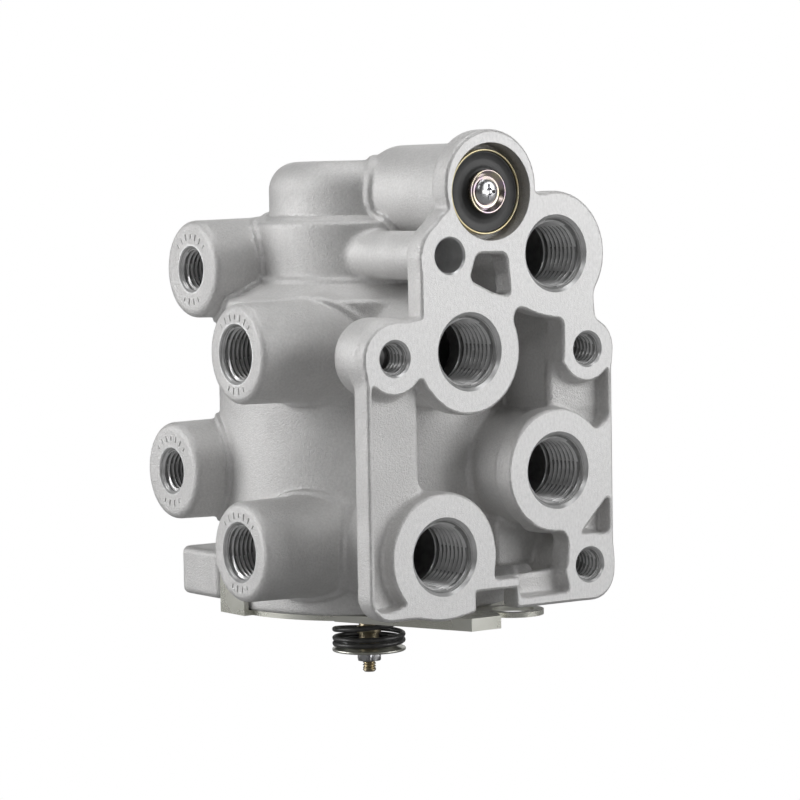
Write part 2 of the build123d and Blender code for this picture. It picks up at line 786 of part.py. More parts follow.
def axial_ring(label, inner_r, outer_r, foot_z, height):
    """A plain ring about the body's axis."""
    with BuildPart() as ring:
        with BuildSketch(Plane.XY.offset(foot_z)):
            with Locations((AXIS_X, AXIS_Y)):
                Circle(outer_r)
                Circle(inner_r, mode=Mode.SUBTRACT)
        extrude(amount=height)
    keep(ring, label)


STEM_HOLE_R = STEM_R + RUNNING_FIT
axial_ring("drain_disc", STEM_HOLE_R, 10.0, DRAIN_DISC_Z, DRAIN_DISC_T)
axial_ring("drain_disc_washer", STEM_HOLE_R, 8.5, DRAIN_DISC_Z + DRAIN_DISC_T, DRAIN_WASHER_T)
axial_ring("drain_sleeve", STEM_HOLE_R, SLEEVE_R, SPRING_CUP_TOP_Z, DRAIN_DISC_Z - SPRING_CUP_TOP_Z)
axial_ring("spring_washer", STEM_HOLE_R, 11.1, SPRING_CUP_TOP_Z - SPRING_CUP_T, SPRING_CUP_T)

with BuildPart() as stem_nut:
    with BuildSketch(Plane.XY.offset(SPRING_CUP_TOP_Z - SPRING_CUP_T - STEM_NUT_T)):
        with Locations((AXIS_X, AXIS_Y)):
            RegularPolygon(3.9, 6)
            Circle(STEM_HOLE_R, mode=Mode.SUBTRACT)
    extrude(amount=STEM_NUT_T)
keep(stem_nut, "stem_nut")
coil(
    "drain_spring",
    AXIS_PLANE.offset(SPRING_CUP_TOP_Z + 0.05),
    DRAIN_SPRING_R,
    DRAIN_WIRE_R,
    PLATE_BOTTOM_Z - SPRING_CUP_TOP_Z - 0.1,
    4,
)


# ---------------------------------------------------------------- exhaust check in the mounting face
def face_ring(label, centre, inner_r, outer_r, near_y, depth):
    """A plain ring about a line along Y, from near_y back by depth."""
    with BuildPart() as ring:
        with BuildSketch(Plane.XZ.offset(-near_y)):
            with Locations(centre):
                Circle(outer_r)
                if inner_r > 0:
                    Circle(inner_r, mode=Mode.SUBTRACT)
        extrude(amount=-depth)
    keep(ring, label)


def face_profile(centre, points, mode=Mode.ADD):
    """Revolve a half section, given as (radius, y), about a line along Y."""
    centre_x, centre_z = centre
    with BuildSketch(Plane.XY.offset(centre_z)) as half:
        with BuildLine():
            Polyline([(centre_x + r, y) for r, y in points], close=True)
        make_face()
    revolve(half.sketch, axis=Axis((centre_x, 0, centre_z), (0, 1, 0)), mode=mode)


DISC_RIM_Y = 2.8
DISC_R = 12.1
DISC_BACK_Y = 6.2
CUP_WALL = 0.6
INNER_CUP_R = 6.25
INNER_CUP_Y = 1.4
CHECK_SCREW_R = 2.0
CHECK_SCREW_HEAD_R = 3.85
CHECK_SCREW_HEAD_Y = 0.8
CHECK_SLEEVE_R = 3.2
CHECK_SLEEVE_END_Y = 20.0

with BuildPart() as exhaust_disc_cup:
    face_profile(
        EXHAUST,
        [
            (CHECK_SCREW_R + RUNNING_FIT, DISC_BACK_Y - CUP_WALL),
            (DISC_R - CUP_WALL, DISC_BACK_Y - CUP_WALL),
            (DISC_R - CUP_WALL, DISC_RIM_Y),
            (DISC_R, DISC_RIM_Y),
            (DISC_R, DISC_BACK_Y - 0.5),
            (DISC_R - 0.5, DISC_BACK_Y),
            (CHECK_SCREW_R + RUNNING_FIT, DISC_BACK_Y),
        ],
    )
keep(exhaust_disc_cup, "exhaust_disc_cup")

with BuildPart() as exhaust_rubber_disc:
    face_profile(
        EXHAUST,
        [
            (CHECK_SCREW_R + RUNNING_FIT, 3.0),
            (INNER_CUP_R + 0.2, 3.0),
            (9.0, 3.7),
            (DISC_R - CUP_WALL - 0.05, 3.3),
            (DISC_R - CUP_WALL - 0.05, DISC_BACK_Y - CUP_WALL),
            (CHECK_SCREW_R + RUNNING_FIT, DISC_BACK_Y - CUP_WALL),
        ],
    )
keep(exhaust_rubber_disc, "exhaust_rubber_disc")

with BuildPart() as exhaust_inner_cup:
    face_profile(
        EXHAUST,
        [
            (CHECK_SCREW_R + RUNNING_FIT, 2.4),
            (4.6, 2.4),
            (INNER_CUP_R - 0.6, INNER_CUP_Y),
            (INNER_CUP_R, INNER_CUP_Y),
            (INNER_CUP_R, 2.5),
            (INNER_CUP_R - 0.5, 3.0),
            (CHECK_SCREW_R + RUNNING_FIT, 3.0),
        ],
    )
keep(exhaust_inner_cup, "exhaust_inner_cup")

with BuildPart() as exhaust_screw:
    face_profile(
        EXHAUST,
        [
            (0, CHECK_SCREW_HEAD_Y),
            (2.4, CHECK_SCREW_HEAD_Y + 0.15),
            (3.4, CHECK_SCREW_HEAD_Y + 0.6),
            (CHECK_SCREW_HEAD_R, 2.4),
            (CHECK_SCREW_R, 2.4),
            (CHECK_SCREW_R, 17.0),
            (0, 17.0),
        ],
    )
    # cross recess
    with BuildSketch(Plane.XZ.offset(-CHECK_SCREW_HEAD_Y)):
        with Locations(EXHAUST):
            Rectangle(4.2, 0.9)
            Rectangle(0.9, 4.2)
            Circle(1.0)
    extrude(amount=-1.1, mode=Mode.SUBTRACT)
keep(exhaust_screw, "exhaust_screw")

# sleeve nut that the screw enters, with the flange that the spring pushes back
SLEEVE_FLANGE_R = 6.0
SLEEVE_FLANGE_T = 1.6
with BuildPart() as exhaust_sleeve:
    face_profile(
        EXHAUST,
        [
            (CHECK_SCREW_R + RUNNING_FIT, DISC_BACK_Y),
            (CHECK_SLEEVE_R, DISC_BACK_Y),
            (CHECK_SLEEVE_R, CHECK_SLEEVE_END_Y),
            (SLEEVE_FLANGE_R, CHECK_SLEEVE_END_Y),
            (SLEEVE_FLANGE_R, CHECK_SLEEVE_END_Y + SLEEVE_FLANGE_T),
            (0, CHECK_SLEEVE_END_Y + SLEEVE_FLANGE_T),
            (0, 17.5),
            (CHECK_SCREW_R + RUNNING_FIT, 17.5),
        ],
    )
keep(exhaust_sleeve, "exhaust_sleeve")

SPIDER_Y = 9.5
SPIDER_T = 3.0
VENT_R = 1.3
with BuildPart() as exhaust_guide:
    with BuildSketch(Plane.XZ.offset(-SPIDER_Y)):
        with Locations(EXHAUST):
            Circle(EXHAUST_PASSAGE_R - 0.02)
            Circle(CHECK_SLEEVE_R + RUNNING_FIT, mode=Mode.SUBTRACT)
            with PolarLocations(5.6, 6):
                Circle(VENT_R, mode=Mode.SUBTRACT)
    extrude(amount=-SPIDER_T)
keep(exhaust_guide, "exhaust_guide")

coil(
    "exhaust_spring",
    Plane(origin=(EXHAUST[0], SPIDER_Y + SPIDER_T + 0.05, EXHAUST[1]), z_dir=(0, 1, 0)),
    4.6,
    0.5,
    CHECK_SLEEVE_END_Y - SPIDER_Y - SPIDER_T - 0.1,
    4,
)

# ---------------------------------------------------------------- check valve in the supply port
CHECK_SEAT_Y = 22.0
CHECK_SEAT_T = 2.5
CHECK_BORE_R = HALF_INCH[3]
CHECK_DISC_R = 7.2
CHECK_DISC_T = 2.0
CHECK_CAGE_Y = 32.0
CHECK_CAGE_T = 2.0
face_ring("supply_check_seat", SUPPLY, 5.4, CHECK_BORE_R - 0.02, CHECK_SEAT_Y, CHECK_SEAT_T)
check_disc_y = CHECK_SEAT_Y + CHECK_SEAT_T + SEAT_GAP
face_ring("supply_check_disc", SUPPLY, 0, CHECK_DISC_R, check_disc_y, CHECK_DISC_T)
with BuildPart() as supply_check_cage:
    with BuildSketch(Plane.XZ.offset(-CHECK_CAGE_Y)):
        with Locations(SUPPLY):
            Circle(CHECK_BORE_R - 0.02)
            with PolarLocations(5.6, 5):
                Circle(2.0, mode=Mode.SUBTRACT)
    extrude(amount=-CHECK_CAGE_T)
keep(supply_check_cage, "supply_check_cage")
coil(
    "supply_check_spring",
    Plane(
        origin=(SUPPLY[0], check_disc_y + CHECK_DISC_T + 0.05, SUPPLY[1]), z_dir=(0, 1, 0)
    ),
    4.4,
    0.4,
    CHECK_CAGE_Y - check_disc_y - CHECK_DISC_T - 0.1,
    3,
)
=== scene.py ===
import math
from collections import namedtuple

import bmesh
import bpy
import numpy as np
import openvdb
from mathutils import Matrix, Vector


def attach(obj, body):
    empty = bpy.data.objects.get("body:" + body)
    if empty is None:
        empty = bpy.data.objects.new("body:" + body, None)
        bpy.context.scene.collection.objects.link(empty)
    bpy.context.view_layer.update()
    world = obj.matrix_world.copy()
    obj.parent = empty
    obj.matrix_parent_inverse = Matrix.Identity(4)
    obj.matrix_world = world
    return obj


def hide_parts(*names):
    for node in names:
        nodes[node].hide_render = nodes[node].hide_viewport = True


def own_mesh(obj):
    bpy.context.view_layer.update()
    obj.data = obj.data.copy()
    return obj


# The looks of a cast aluminium multi-port relay valve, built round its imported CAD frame.
# Row frame: the mounting face is the plane y = 0 and looks along -Y, +Z is up, and the origin is
# the centre of the supply port's mouth. Lengths in this script are millimetres until a mesh is
# made, where MM turns them into metres.

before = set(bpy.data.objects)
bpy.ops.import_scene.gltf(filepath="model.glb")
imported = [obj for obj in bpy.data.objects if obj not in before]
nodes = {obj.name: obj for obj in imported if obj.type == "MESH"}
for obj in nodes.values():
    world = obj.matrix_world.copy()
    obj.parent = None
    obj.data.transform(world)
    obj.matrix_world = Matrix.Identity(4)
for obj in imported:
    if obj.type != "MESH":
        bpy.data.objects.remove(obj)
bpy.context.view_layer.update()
MM = 0.001

# ---------------------------------------------------------------- sizes shared with the CAD
AXIS = (8.1, 64.0)
CAP_R, SHOULDER_R, BARREL_R = 27.6, 32.3, 43.5
CAP_EDGE, BARREL_EDGE, SHOULDER_EDGE = 8.5, 1.2, 1.4
CAP_TOP_Z, CAP_FOOT_Z, SHOULDER_FOOT_Z, BARREL_TOP_Z, BOTTOM_Z = 54.6, 37.0, 19.5, 13.5, -76.2
BACK_Y, TOP_Z = 107.5, 62.39
FLANGE_LEFT_X, FLANGE_RIGHT_X, FLANGE_BOTTOM_Z, FLANGE_T = -35.4, 51.6, -74.1, 7.0
FLANGE_CORNER_R = 7.5
RECESS_DEPTH, LIP, LAND_R, PILOT_LAND_R = 4.6, 1.9, 17.9, 10.2
Thread = namedtuple("Thread", "wall_r mouth_r depth passage_r pitch height")
HALF_INCH = Thread(10.3, 11.2, 17.0, 9.0, 1.81, 1.3)
THREE_EIGHTHS = Thread(8.3, 8.95, 14.0, 5.5, 1.41, 1.1)
QUARTER_INCH = Thread(6.6, 7.2, 12.0, 4.5, 1.41, 1.1)
BOLT_HOLE = Thread(4.75, 5.35, 14.0, 0.0, 1.59, 0.95)
SHORT_BOLT_HOLE = Thread(4.75, 5.35, 10.5, 0.0, 1.59, 0.95)
SUPPLY, UPPER_PORT = (0.0, 0.0), (31.2, 26.9)
MIDDLE_PORT, LOWER_PORT = (31.0, -35.4), (-9.7, -57.2)
EXHAUST, PILOT = (8.3, 44.8), (-6.5, 27.1)
BOLT_LEFT, BOLT_RIGHT, BOLT_LOW = (-25.8, -0.9), (42.3, -0.9), (42.3, -63.6)
LANDS = [
    (SUPPLY, LAND_R),
    (UPPER_PORT, LAND_R),
    (MIDDLE_PORT, LAND_R),
    (LOWER_PORT, LAND_R + 0.3),
    (PILOT, PILOT_LAND_R),
    (BOLT_LEFT, 10.4),
    (BOLT_RIGHT, 9.5),
    (BOLT_LOW, 9.3),
]
EXHAUST_LAND = ((8.3, 46.3), 16.1)
BOSSES = [
    (84.0, 23.4, -40.0, QUARTER_INCH),
    (41.0, 0.2, -52.2, THREE_EIGHTHS),
    (87.0, -36.1, -46.3, QUARTER_INCH),
    (41.0, -56.0, -52.2, THREE_EIGHTHS),
]
BOSS_FACE_R, BOSS_ROOT_R, BOSS_EDGE = 14.3, 15.2, 2.2
RIGHT_WEBS = [
    ((33.0, 49.0), (-19.0, 12.0), 5.0),
    ((20.0, 48.0), (-64.0, -50.0), 15.0),
]
WEB_FAR_Y = 45.0
# feet beside the barrel's foot: reach from the axis, from y to y, above the bottom, corner radius
FOOT_REACH, FOOT_Y, FOOT_RISE, FOOT_CORNER_R = 45.1, (79.5, 95.5), (1.8, 16.2), 3.0
# bores on the vertical axis, from the bottom up
LOWER_BORE_R, GUIDE_BORE_R, RING_GROOVE_R, GUIDE_STOP_R = 36.0, 16.0, 17.3, 14.5
MIDDLE_BORE_R, STEM_BORE_R, UPPER_BORE_R = 31.0, 9.5, 22.0
LOWER_BORE_TOP_Z, MIDDLE_FLOOR_Z, MIDDLE_TOP_Z = -32.0, -22.0, 4.0
UPPER_FLOOR_Z, UPPER_TOP_Z = 16.0, 48.5
EXHAUST_BORE_R, EXHAUST_SLEEVE_R, EXHAUST_VENT_R = 13.8, 8.0, 3.4
PILOT_R, PILOT_MOUTH_R, PILOT_DEPTH = 4.9, 6.4, 26.0
SCREW_CIRCLE_R, SCREW_HOLE_R, SCREW_HOLE_DEPTH, SCREW_COUNT = 39.8, 2.05, 12.0, 3
# how far each face port's passage runs in
PASSAGES = ((SUPPLY, 36.0), (UPPER_PORT, 44.5), (MIDDLE_PORT, 40.0), (LOWER_PORT, 37.0))
# how far a port's cutter stands out of the face that it opens
CLEAR = 1.0
# the raised strokes on the boss faces reach the CAD's face, so the casting's face is this far behind
MARK_HEIGHT = 0.25

ROOM_LIGHT = 0.05


# ---------------------------------------------------------------- camera, light and floor
def camera():
    """The photograph's long lens, from the front left and a little above."""
    yaw, pitch, roll = map(math.radians, (35.336, 3.835, 0.931))
    forward = Vector((math.sin(yaw) * math.cos(pitch), math.cos(yaw) * math.cos(pitch), -math.sin(pitch)))
    right = Vector((math.cos(yaw), -math.sin(yaw), 0.0))
    down = forward.cross(right)
    across = math.cos(roll) * right + math.sin(roll) * down
    below = -math.sin(roll) * right + math.cos(roll) * down
    data = bpy.data.cameras.new("camera")
    data.sensor_width = 36.0
    data.lens = 136.35
    data.clip_start, data.clip_end = 0.05, 20.0
    cam = bpy.data.objects.new("camera", data)
    turn = Matrix((across, -below, -forward)).transposed()
    place = (-0.5079, -0.6820, 0.04374)
    cam.matrix_world = Matrix.Translation(place) @ turn.to_4x4()
    bpy.context.scene.collection.objects.link(cam)
    bpy.context.scene.camera = cam


def area_light(name, place, size, power):
    """A soft box aimed at the middle of the valve."""
    middle = Vector((0.008, 0.045, -0.015))
    data = bpy.data.lights.new(name, "AREA")
    data.shape = "RECTANGLE"
    data.size, data.size_y = size
    data.energy = power
    lamp = bpy.data.objects.new(name, data)
    lamp.location = place
    lamp.rotation_euler = (middle - Vector(place)).to_track_quat("-Z", "Y").to_euler()
    bpy.context.scene.collection.objects.link(lamp)


def studio():
    """A pale room: soft boxes at the front right, the back left and above, dim towards the lens."""
    bpy.context.scene.view_settings.view_transform = "Standard"
    world = bpy.data.worlds.new("studio")
    world.use_nodes = True
    tree = world.node_tree
    room = tree.nodes["Background"]
    room.inputs["Color"].default_value = (1.0, 1.0, 1.0, 1)
    room.inputs["Strength"].default_value = ROOM_LIGHT
    seen = tree.nodes.new("ShaderNodeBackground")
    seen.inputs["Color"].default_value = (1.0, 1.0, 1.0, 1)
    mix = tree.nodes.new("ShaderNodeMixShader")
    path = tree.nodes.new("ShaderNodeLightPath")
    tree.links.new(path.outputs["Is Camera Ray"], mix.inputs["Fac"])
    tree.links.new(room.outputs["Background"], mix.inputs[1])
    tree.links.new(seen.outputs["Background"], mix.inputs[2])
    tree.links.new(mix.outputs["Shader"], tree.nodes["World Output"].inputs["Surface"])
    bpy.context.scene.world = world
    area_light("front_right", (0.95, -1.15, 0.3), (1.2, 1.2), 14.5)
    area_light("back_left", (-1.25, 0.85, 0.2), (1.1, 1.1), 16.5)
    area_light("above", (-0.1, 0.05, 1.4), (1.2, 1.2), 10.3)
    area_light("front_left_high", (-0.75, -0.95, 0.75), (0.35, 0.35), 1.1)
    area_light("behind", (0.9, 1.1, 0.5), (0.9, 0.9), 2.0)
    mesh = bpy.data.meshes.new("floor")
    half, z = 2.5, -0.0992
    corners = [(-half, -half, z), (half, -half, z), (half, half, z), (-half, half, z)]
    mesh.from_pydata(corners, [], [(0, 1, 2, 3)])
    floor = bpy.data.objects.new("floor", mesh)
    bpy.context.scene.collection.objects.link(floor)
    m = Nodes("floor_paint")
    m.put(Base_Color=m.ramp(m.noise(3.0), grey(0.30), grey(0.34)), Roughness=0.9)
    glow = m.node("ShaderNodeEmission")
    white = m.node("ShaderNodeMixShader")
    m.link(m.node("ShaderNodeLightPath").outputs["Is Camera Ray"], white.inputs["Fac"])
    m.link(m.shader.outputs["BSDF"], white.inputs[1])
    m.link(glow.outputs["Emission"], white.inputs[2])
    m.link(white.outputs["Shader"], m.tree.nodes["Material Output"].inputs["Surface"])
    mesh.materials.append(m.material)


# ---------------------------------------------------------------- materials
class Nodes:
    """A Principled material and short calls that add nodes to it."""

    def __init__(self, name):
        self.material = bpy.data.materials.new(name)
        self.material.use_nodes = True
        self.tree = self.material.node_tree
        self.shader = self.tree.nodes["Principled BSDF"]
        self.where = self.tree.nodes.new("ShaderNodeTexCoord").outputs["Object"]

    def node(self, kind, **values):
        """Add a node and set its properties."""
        made = self.tree.nodes.new(kind)
        for key, value in values.items():
            setattr(made, key, value)
        return made

    def link(self, out, into):
        self.tree.links.new(out, into)

    def noise(self, scale, detail=3.0, roughness=0.5, stretch=None):
        """Noise in the object's space, stretched along an axis where a tool left its lay."""
        tex = self.node("ShaderNodeTexNoise")
        tex.inputs["Scale"].default_value = scale
        tex.inputs["Detail"].default_value = detail
        tex.inputs["Roughness"].default_value = roughness
        if stretch:
            mapping = self.node("ShaderNodeMapping")
            mapping.inputs["Scale"].default_value = stretch
            self.link(self.where, mapping.inputs["Vector"])
            self.link(mapping.outputs["Vector"], tex.inputs["Vector"])
        else:
            self.link(self.where, tex.inputs["Vector"])
        return tex.outputs["Fac"]

    def ramp(self, fac, low, high, at=(0.3, 0.7)):
        """Two colours blended by a factor."""
        made = self.node("ShaderNodeValToRGB")
        ends = made.color_ramp.elements
        ends[0].position, ends[1].position = at
        ends[0].color, ends[1].color = (*low, 1), (*high, 1)
        self.link(fac, made.inputs["Fac"])
        return made.outputs["Color"]

    def span(self, fac, low, high):
        """A factor spread from low to high."""
        made = self.node("ShaderNodeMapRange")
        made.inputs["To Min"].default_value = low
        made.inputs["To Max"].default_value = high
        self.link(fac, made.inputs["Value"])
        return made.outputs["Result"]

    def bump(self, *layers):
        """Stack (height, strength, distance) bumps."""
        normal = None
        for height, strength, distance in layers:
            made = self.node("ShaderNodeBump")
            made.inputs["Strength"].default_value = strength
            made.inputs["Distance"].default_value = distance
            self.link(height, made.inputs["Height"])
            if normal:
                self.link(normal, made.inputs["Normal"])
            normal = made.outputs["Normal"]
        self.link(normal, self.shader.inputs["Normal"])

    def put(self, **values):
        """Set or link the shader's inputs and give the material back."""
        for key, value in values.items():
            socket = self.shader.inputs[key.replace("_", " ")]
            if isinstance(value, bpy.types.NodeSocket):
                self.link(value, socket)
            else:
                socket.default_value = value
        return self.material


def grey(value, warm=0.0):
    """A grey, or one slightly warm."""
    return (value * (1 + warm), value, value * (1 - warm))


def make_materials():
    """Every look by its short name, each with its own noise in the object's space."""
    made = {}

    m = Nodes("cast_aluminium")
    blotch = m.noise(60.0, 4.0)
    grit = m.noise(2600.0, 2.0, 0.6)
    pits = m.noise(1300.0, 3.0, 0.6)
    speckle = m.ramp(pits, grey(0.90), grey(1.0), at=(0.35, 0.65))
    tone = m.node("ShaderNodeMix", data_type="RGBA", blend_type="MULTIPLY")
    tone.inputs["Factor"].default_value = 1.0
    m.link(m.ramp(blotch, grey(0.71, 0.008), grey(0.80, 0.008)), tone.inputs[6])
    m.link(speckle, tone.inputs[7])
    m.bump((pits, 0.8, 0.0002), (grit, 1.0, 0.00014))
    made["cast"] = m.put(
        Base_Color=tone.outputs[2],
        Metallic=0.5,
        Roughness=m.span(grit, 0.42, 0.56),
    )

    m = Nodes("milled_aluminium")
    grit = m.noise(3200.0, 2.0, 0.6)
    lay = m.noise(1400.0, 3.0, 0.6, stretch=(1.0, 1.0, 0.5))
    m.bump((lay, 0.5, 0.0001), (grit, 1.0, 0.0001))
    made["milled"] = m.put(
        Base_Color=m.ramp(lay, grey(0.74, 0.004), grey(0.86, 0.004)),
        Metallic=0.5,
        Roughness=m.span(grit, 0.42, 0.54),
    )

    m = Nodes("threaded_aluminium")
    swirl = m.noise(500.0, 2.0)
    m.bump((swirl, 0.15, 0.0001))
    made["thread"] = m.put(
        Base_Color=m.ramp(swirl, grey(0.74), grey(0.84)),
        Metallic=0.65,
        Roughness=m.span(swirl, 0.28, 0.4),
    )

    # Painted shade: a darker grey for the thread grooves, standing in for the shade that falls in them.
    m = Nodes("thread_root_painted_shade")
    swirl = m.noise(500.0, 2.0)
    m.bump((swirl, 0.15, 0.0001))
    made["root"] = m.put(
        Base_Color=m.ramp(swirl, grey(0.34), grey(0.46)),
        Metallic=0.6,
        Roughness=m.span(swirl, 0.35, 0.5),
    )

    # Painted shade: a dark grey for the passages beyond the threads, standing in for the dark inside a deep
    # drilled hole.
    m = Nodes("deep_bore_painted_shade")
    swirl = m.noise(400.0, 3.0)
    m.bump((swirl, 0.2, 0.0001))
    made["deep"] = m.put(
        Base_Color=m.ramp(swirl, grey(0.24), grey(0.34)), Metallic=0.3, Roughness=m.span(swirl, 0.5, 0.65)
    )

    m = Nodes("turned_aluminium")
    lay = m.noise(900.0, 2.0, 0.5, stretch=(0.1, 0.1, 1.0))
    m.bump((lay, 0.15, 0.0001))
    made["turned"] = m.put(
        Base_Color=m.ramp(lay, grey(0.60), grey(0.70)), Metallic=0.9, Roughness=m.span(lay, 0.3, 0.42)
    )

    m = Nodes("rubber")
    dust = m.noise(240.0, 4.0)
    grain = m.noise(3000.0, 2.0)
    m.bump((grain, 0.12, 0.0001))
    made["rubber"] = m.put(
        Base_Color=m.ramp(dust, grey(0.022), grey(0.045)), Roughness=m.span(dust, 0.38, 0.5)
    )

    m = Nodes("black_plastic")
    grain = m.noise(1800.0, 3.0)
    m.bump((grain, 0.2, 0.0001))
    made["plastic"] = m.put(
        Base_Color=m.ramp(grain, grey(0.02), grey(0.035)), Roughness=m.span(grain, 0.45, 0.6)
    )

    m = Nodes("black_spring_wire")
    oil = m.noise(300.0, 4.0)
    grain = m.noise(2500.0, 2.0)
    m.bump((grain, 0.15, 0.0001))
    made["black_wire"] = m.put(
        Base_Color=m.ramp(oil, grey(0.09), grey(0.16)), Metallic=0.5, Roughness=m.span(oil, 0.3, 0.45)
    )

    m = Nodes("bright_spring_wire")
    oil = m.noise(300.0, 4.0)
    m.bump((oil, 0.1, 0.0001))
    made["bright_wire"] = m.put(
        Base_Color=m.ramp(oil, grey(0.42), grey(0.56)), Metallic=1.0, Roughness=m.span(oil, 0.25, 0.35)
    )

    m = Nodes("zinc_plate")
    cloud = m.noise(70.0, 5.0)
    grain = m.noise(2000.0, 2.0)
    m.bump((grain, 0.12, 0.0001))
    made["zinc"] = m.put(
        Base_Color=m.ramp(cloud, (0.68, 0.68, 0.60), (0.82, 0.82, 0.76)),
        Metallic=0.85,
        Roughness=m.span(cloud, 0.22, 0.34),
    )

    m = Nodes("yellow_zinc")
    cloud = m.noise(120.0, 4.0)
    grain = m.noise(2400.0, 2.0)
    m.bump((grain, 0.1, 0.0001))
    made["yellow_zinc"] = m.put(
        Base_Color=m.ramp(cloud, (0.62, 0.52, 0.28), (0.74, 0.68, 0.48)),
        Metallic=0.85,
        Roughness=m.span(cloud, 0.25, 0.38),
    )

    m = Nodes("rainbow_zinc")
    cloud = m.noise(260.0, 3.0)
    made["rainbow_zinc"] = m.put(
        Base_Color=m.ramp(cloud, (0.46, 0.36, 0.46), (0.62, 0.56, 0.40), at=(0.35, 0.65)),
        Metallic=0.95,
        Roughness=m.span(cloud, 0.16, 0.26),
    )

    m = Nodes("brass")
    cloud = m.noise(200.0, 4.0)
    lay = m.noise(1500.0, 2.0, 0.5, stretch=(0.15, 0.15, 1.0))
    m.bump((lay, 0.12, 0.0001))
    made["brass"] = m.put(
        Base_Color=m.ramp(cloud, (0.52, 0.44, 0.29), (0.68, 0.60, 0.44)),
        Metallic=1.0,
        Roughness=m.span(cloud, 0.25, 0.4),
    )

    m = Nodes("bright_screw")
    cloud = m.noise(400.0, 3.0)
    m.bump((cloud, 0.08, 0.0001))
    made["screw"] = m.put(
        Base_Color=m.ramp(cloud, (0.60, 0.60, 0.63), (0.74, 0.74, 0.74)),
        Metallic=1.0,
        Roughness=m.span(cloud, 0.22, 0.34),
    )
    return made


# ---------------------------------------------------------------- mesh helpers
def new_object(name, verts, faces, materials):
    """A mesh object from vertices in millimetres."""
    mesh = bpy.data.meshes.new(name)
    mesh.from_pydata([tuple(c * MM for c in v) for v in verts], [], faces)
    mesh.update()
    for material in materials:
        mesh.materials.append(material)
    made = bpy.data.objects.new(name, mesh)
    bpy.context.scene.collection.objects.link(made)
    return made


def outward(made):
    """Point every face of a closed mesh outwards."""
    b = bmesh.new()
    b.from_mesh(made.data)
    bmesh.ops.recalc_face_normals(b, faces=b.faces)
    b.to_mesh(made.data)
    b.free()


def soften(made, angle=35.0):
    """Smooth shading with sharp edges kept where faces turn by more than the angle."""
    made.data.shade_smooth()
    made.data.set_sharp_from_angle(angle=math.radians(angle))


class Axes:
    """A turning axis: a start point, the direction along it, and two directions across."""

    def __init__(self, start, along, across):
        self.start = np.array(start, float)
        self.along = np.array(along, float)
        self.u = np.array(across, float)
        self.v = np.cross(self.along, self.u)

    def at(self, radius, angle, along):
        """The point at a radius and an angle round the axis, this far along it."""
        return (
            self.start
            + self.along * along
            + (self.u * math.cos(angle) + self.v * math.sin(angle)) * radius
        )


VERTICAL = Axes((AXIS[0], AXIS[1], 0.0), (0, 0, 1), (1, 0, 0))


def into_face(x, z):
    """The axis of a hole in the mounting face, running inwards."""
    return Axes((x, 0.0, z), (0, 1, 0), (1, 0, 0))


def into_side(y, z, face_x, side):
    """The axis of a hole in a side boss, running inwards; the right side mirrors the left."""
    x = face_x if side < 0 else 2 * AXIS[0] - face_x
    return Axes((x, y, z), (-side, 0, 0), (0, 1, 0))


def lathe(name, axes, profile, materials, segments=72):
    """Turn a profile of (radius, along); a closed loop gives a ring and ends at radius 0 a solid."""
    verts, faces = [], []
    solid = profile[0][0] == 0 and profile[-1][0] == 0
    rings = []
    for radius, along in profile:
        if radius == 0:
            rings.append([len(verts)])
            verts.append(axes.at(0, 0, along))
        else:
            rings.append(list(range(len(verts), len(verts) + segments)))
            verts += [axes.at(radius, 2 * math.pi * i / segments, along) for i in range(segments)]
    count = len(rings)
    for j in range(count - 1 if solid else count):
        low, high = rings[j], rings[(j + 1) % count]
        for i in range(segments):
            k = (i + 1) % segments
            if len(low) == 1:
                faces.append((low[0], high[k], high[i]))
            elif len(high) == 1:
                faces.append((low[i], low[k], high[0]))
            else:
                faces.append((low[i], low[k], high[k], high[i]))
    made = new_object(name, verts, faces, materials)
    outward(made)
    soften(made)
    return made


def rounded(corners, radius=0.25, steps=3):
    """Round a profile's corners where both sides leave room; corners on the axis stay."""
    out = []
    count = len(corners)
    for i, here in enumerate(corners):
        before, after = corners[i - 1], corners[(i + 1) % count]
        if here[0] == 0 or (i in (0, count - 1) and corners[0][0] == 0):
            out.append(here)
            continue
        p = np.array(here, float)
        a, b = np.array(before, float) - p, np.array(after, float) - p
        cut = min(radius, 0.45 * np.linalg.norm(a), 0.45 * np.linalg.norm(b))
        a, b = p + a / np.linalg.norm(a) * cut, p + b / np.linalg.norm(b) * cut
        for s in range(steps + 1):
            t = s / steps
            q = (1 - t) ** 2 * a + 2 * t * (1 - t) * p + t * t * b
            out.append((float(q[0]), float(q[1])))
    return out


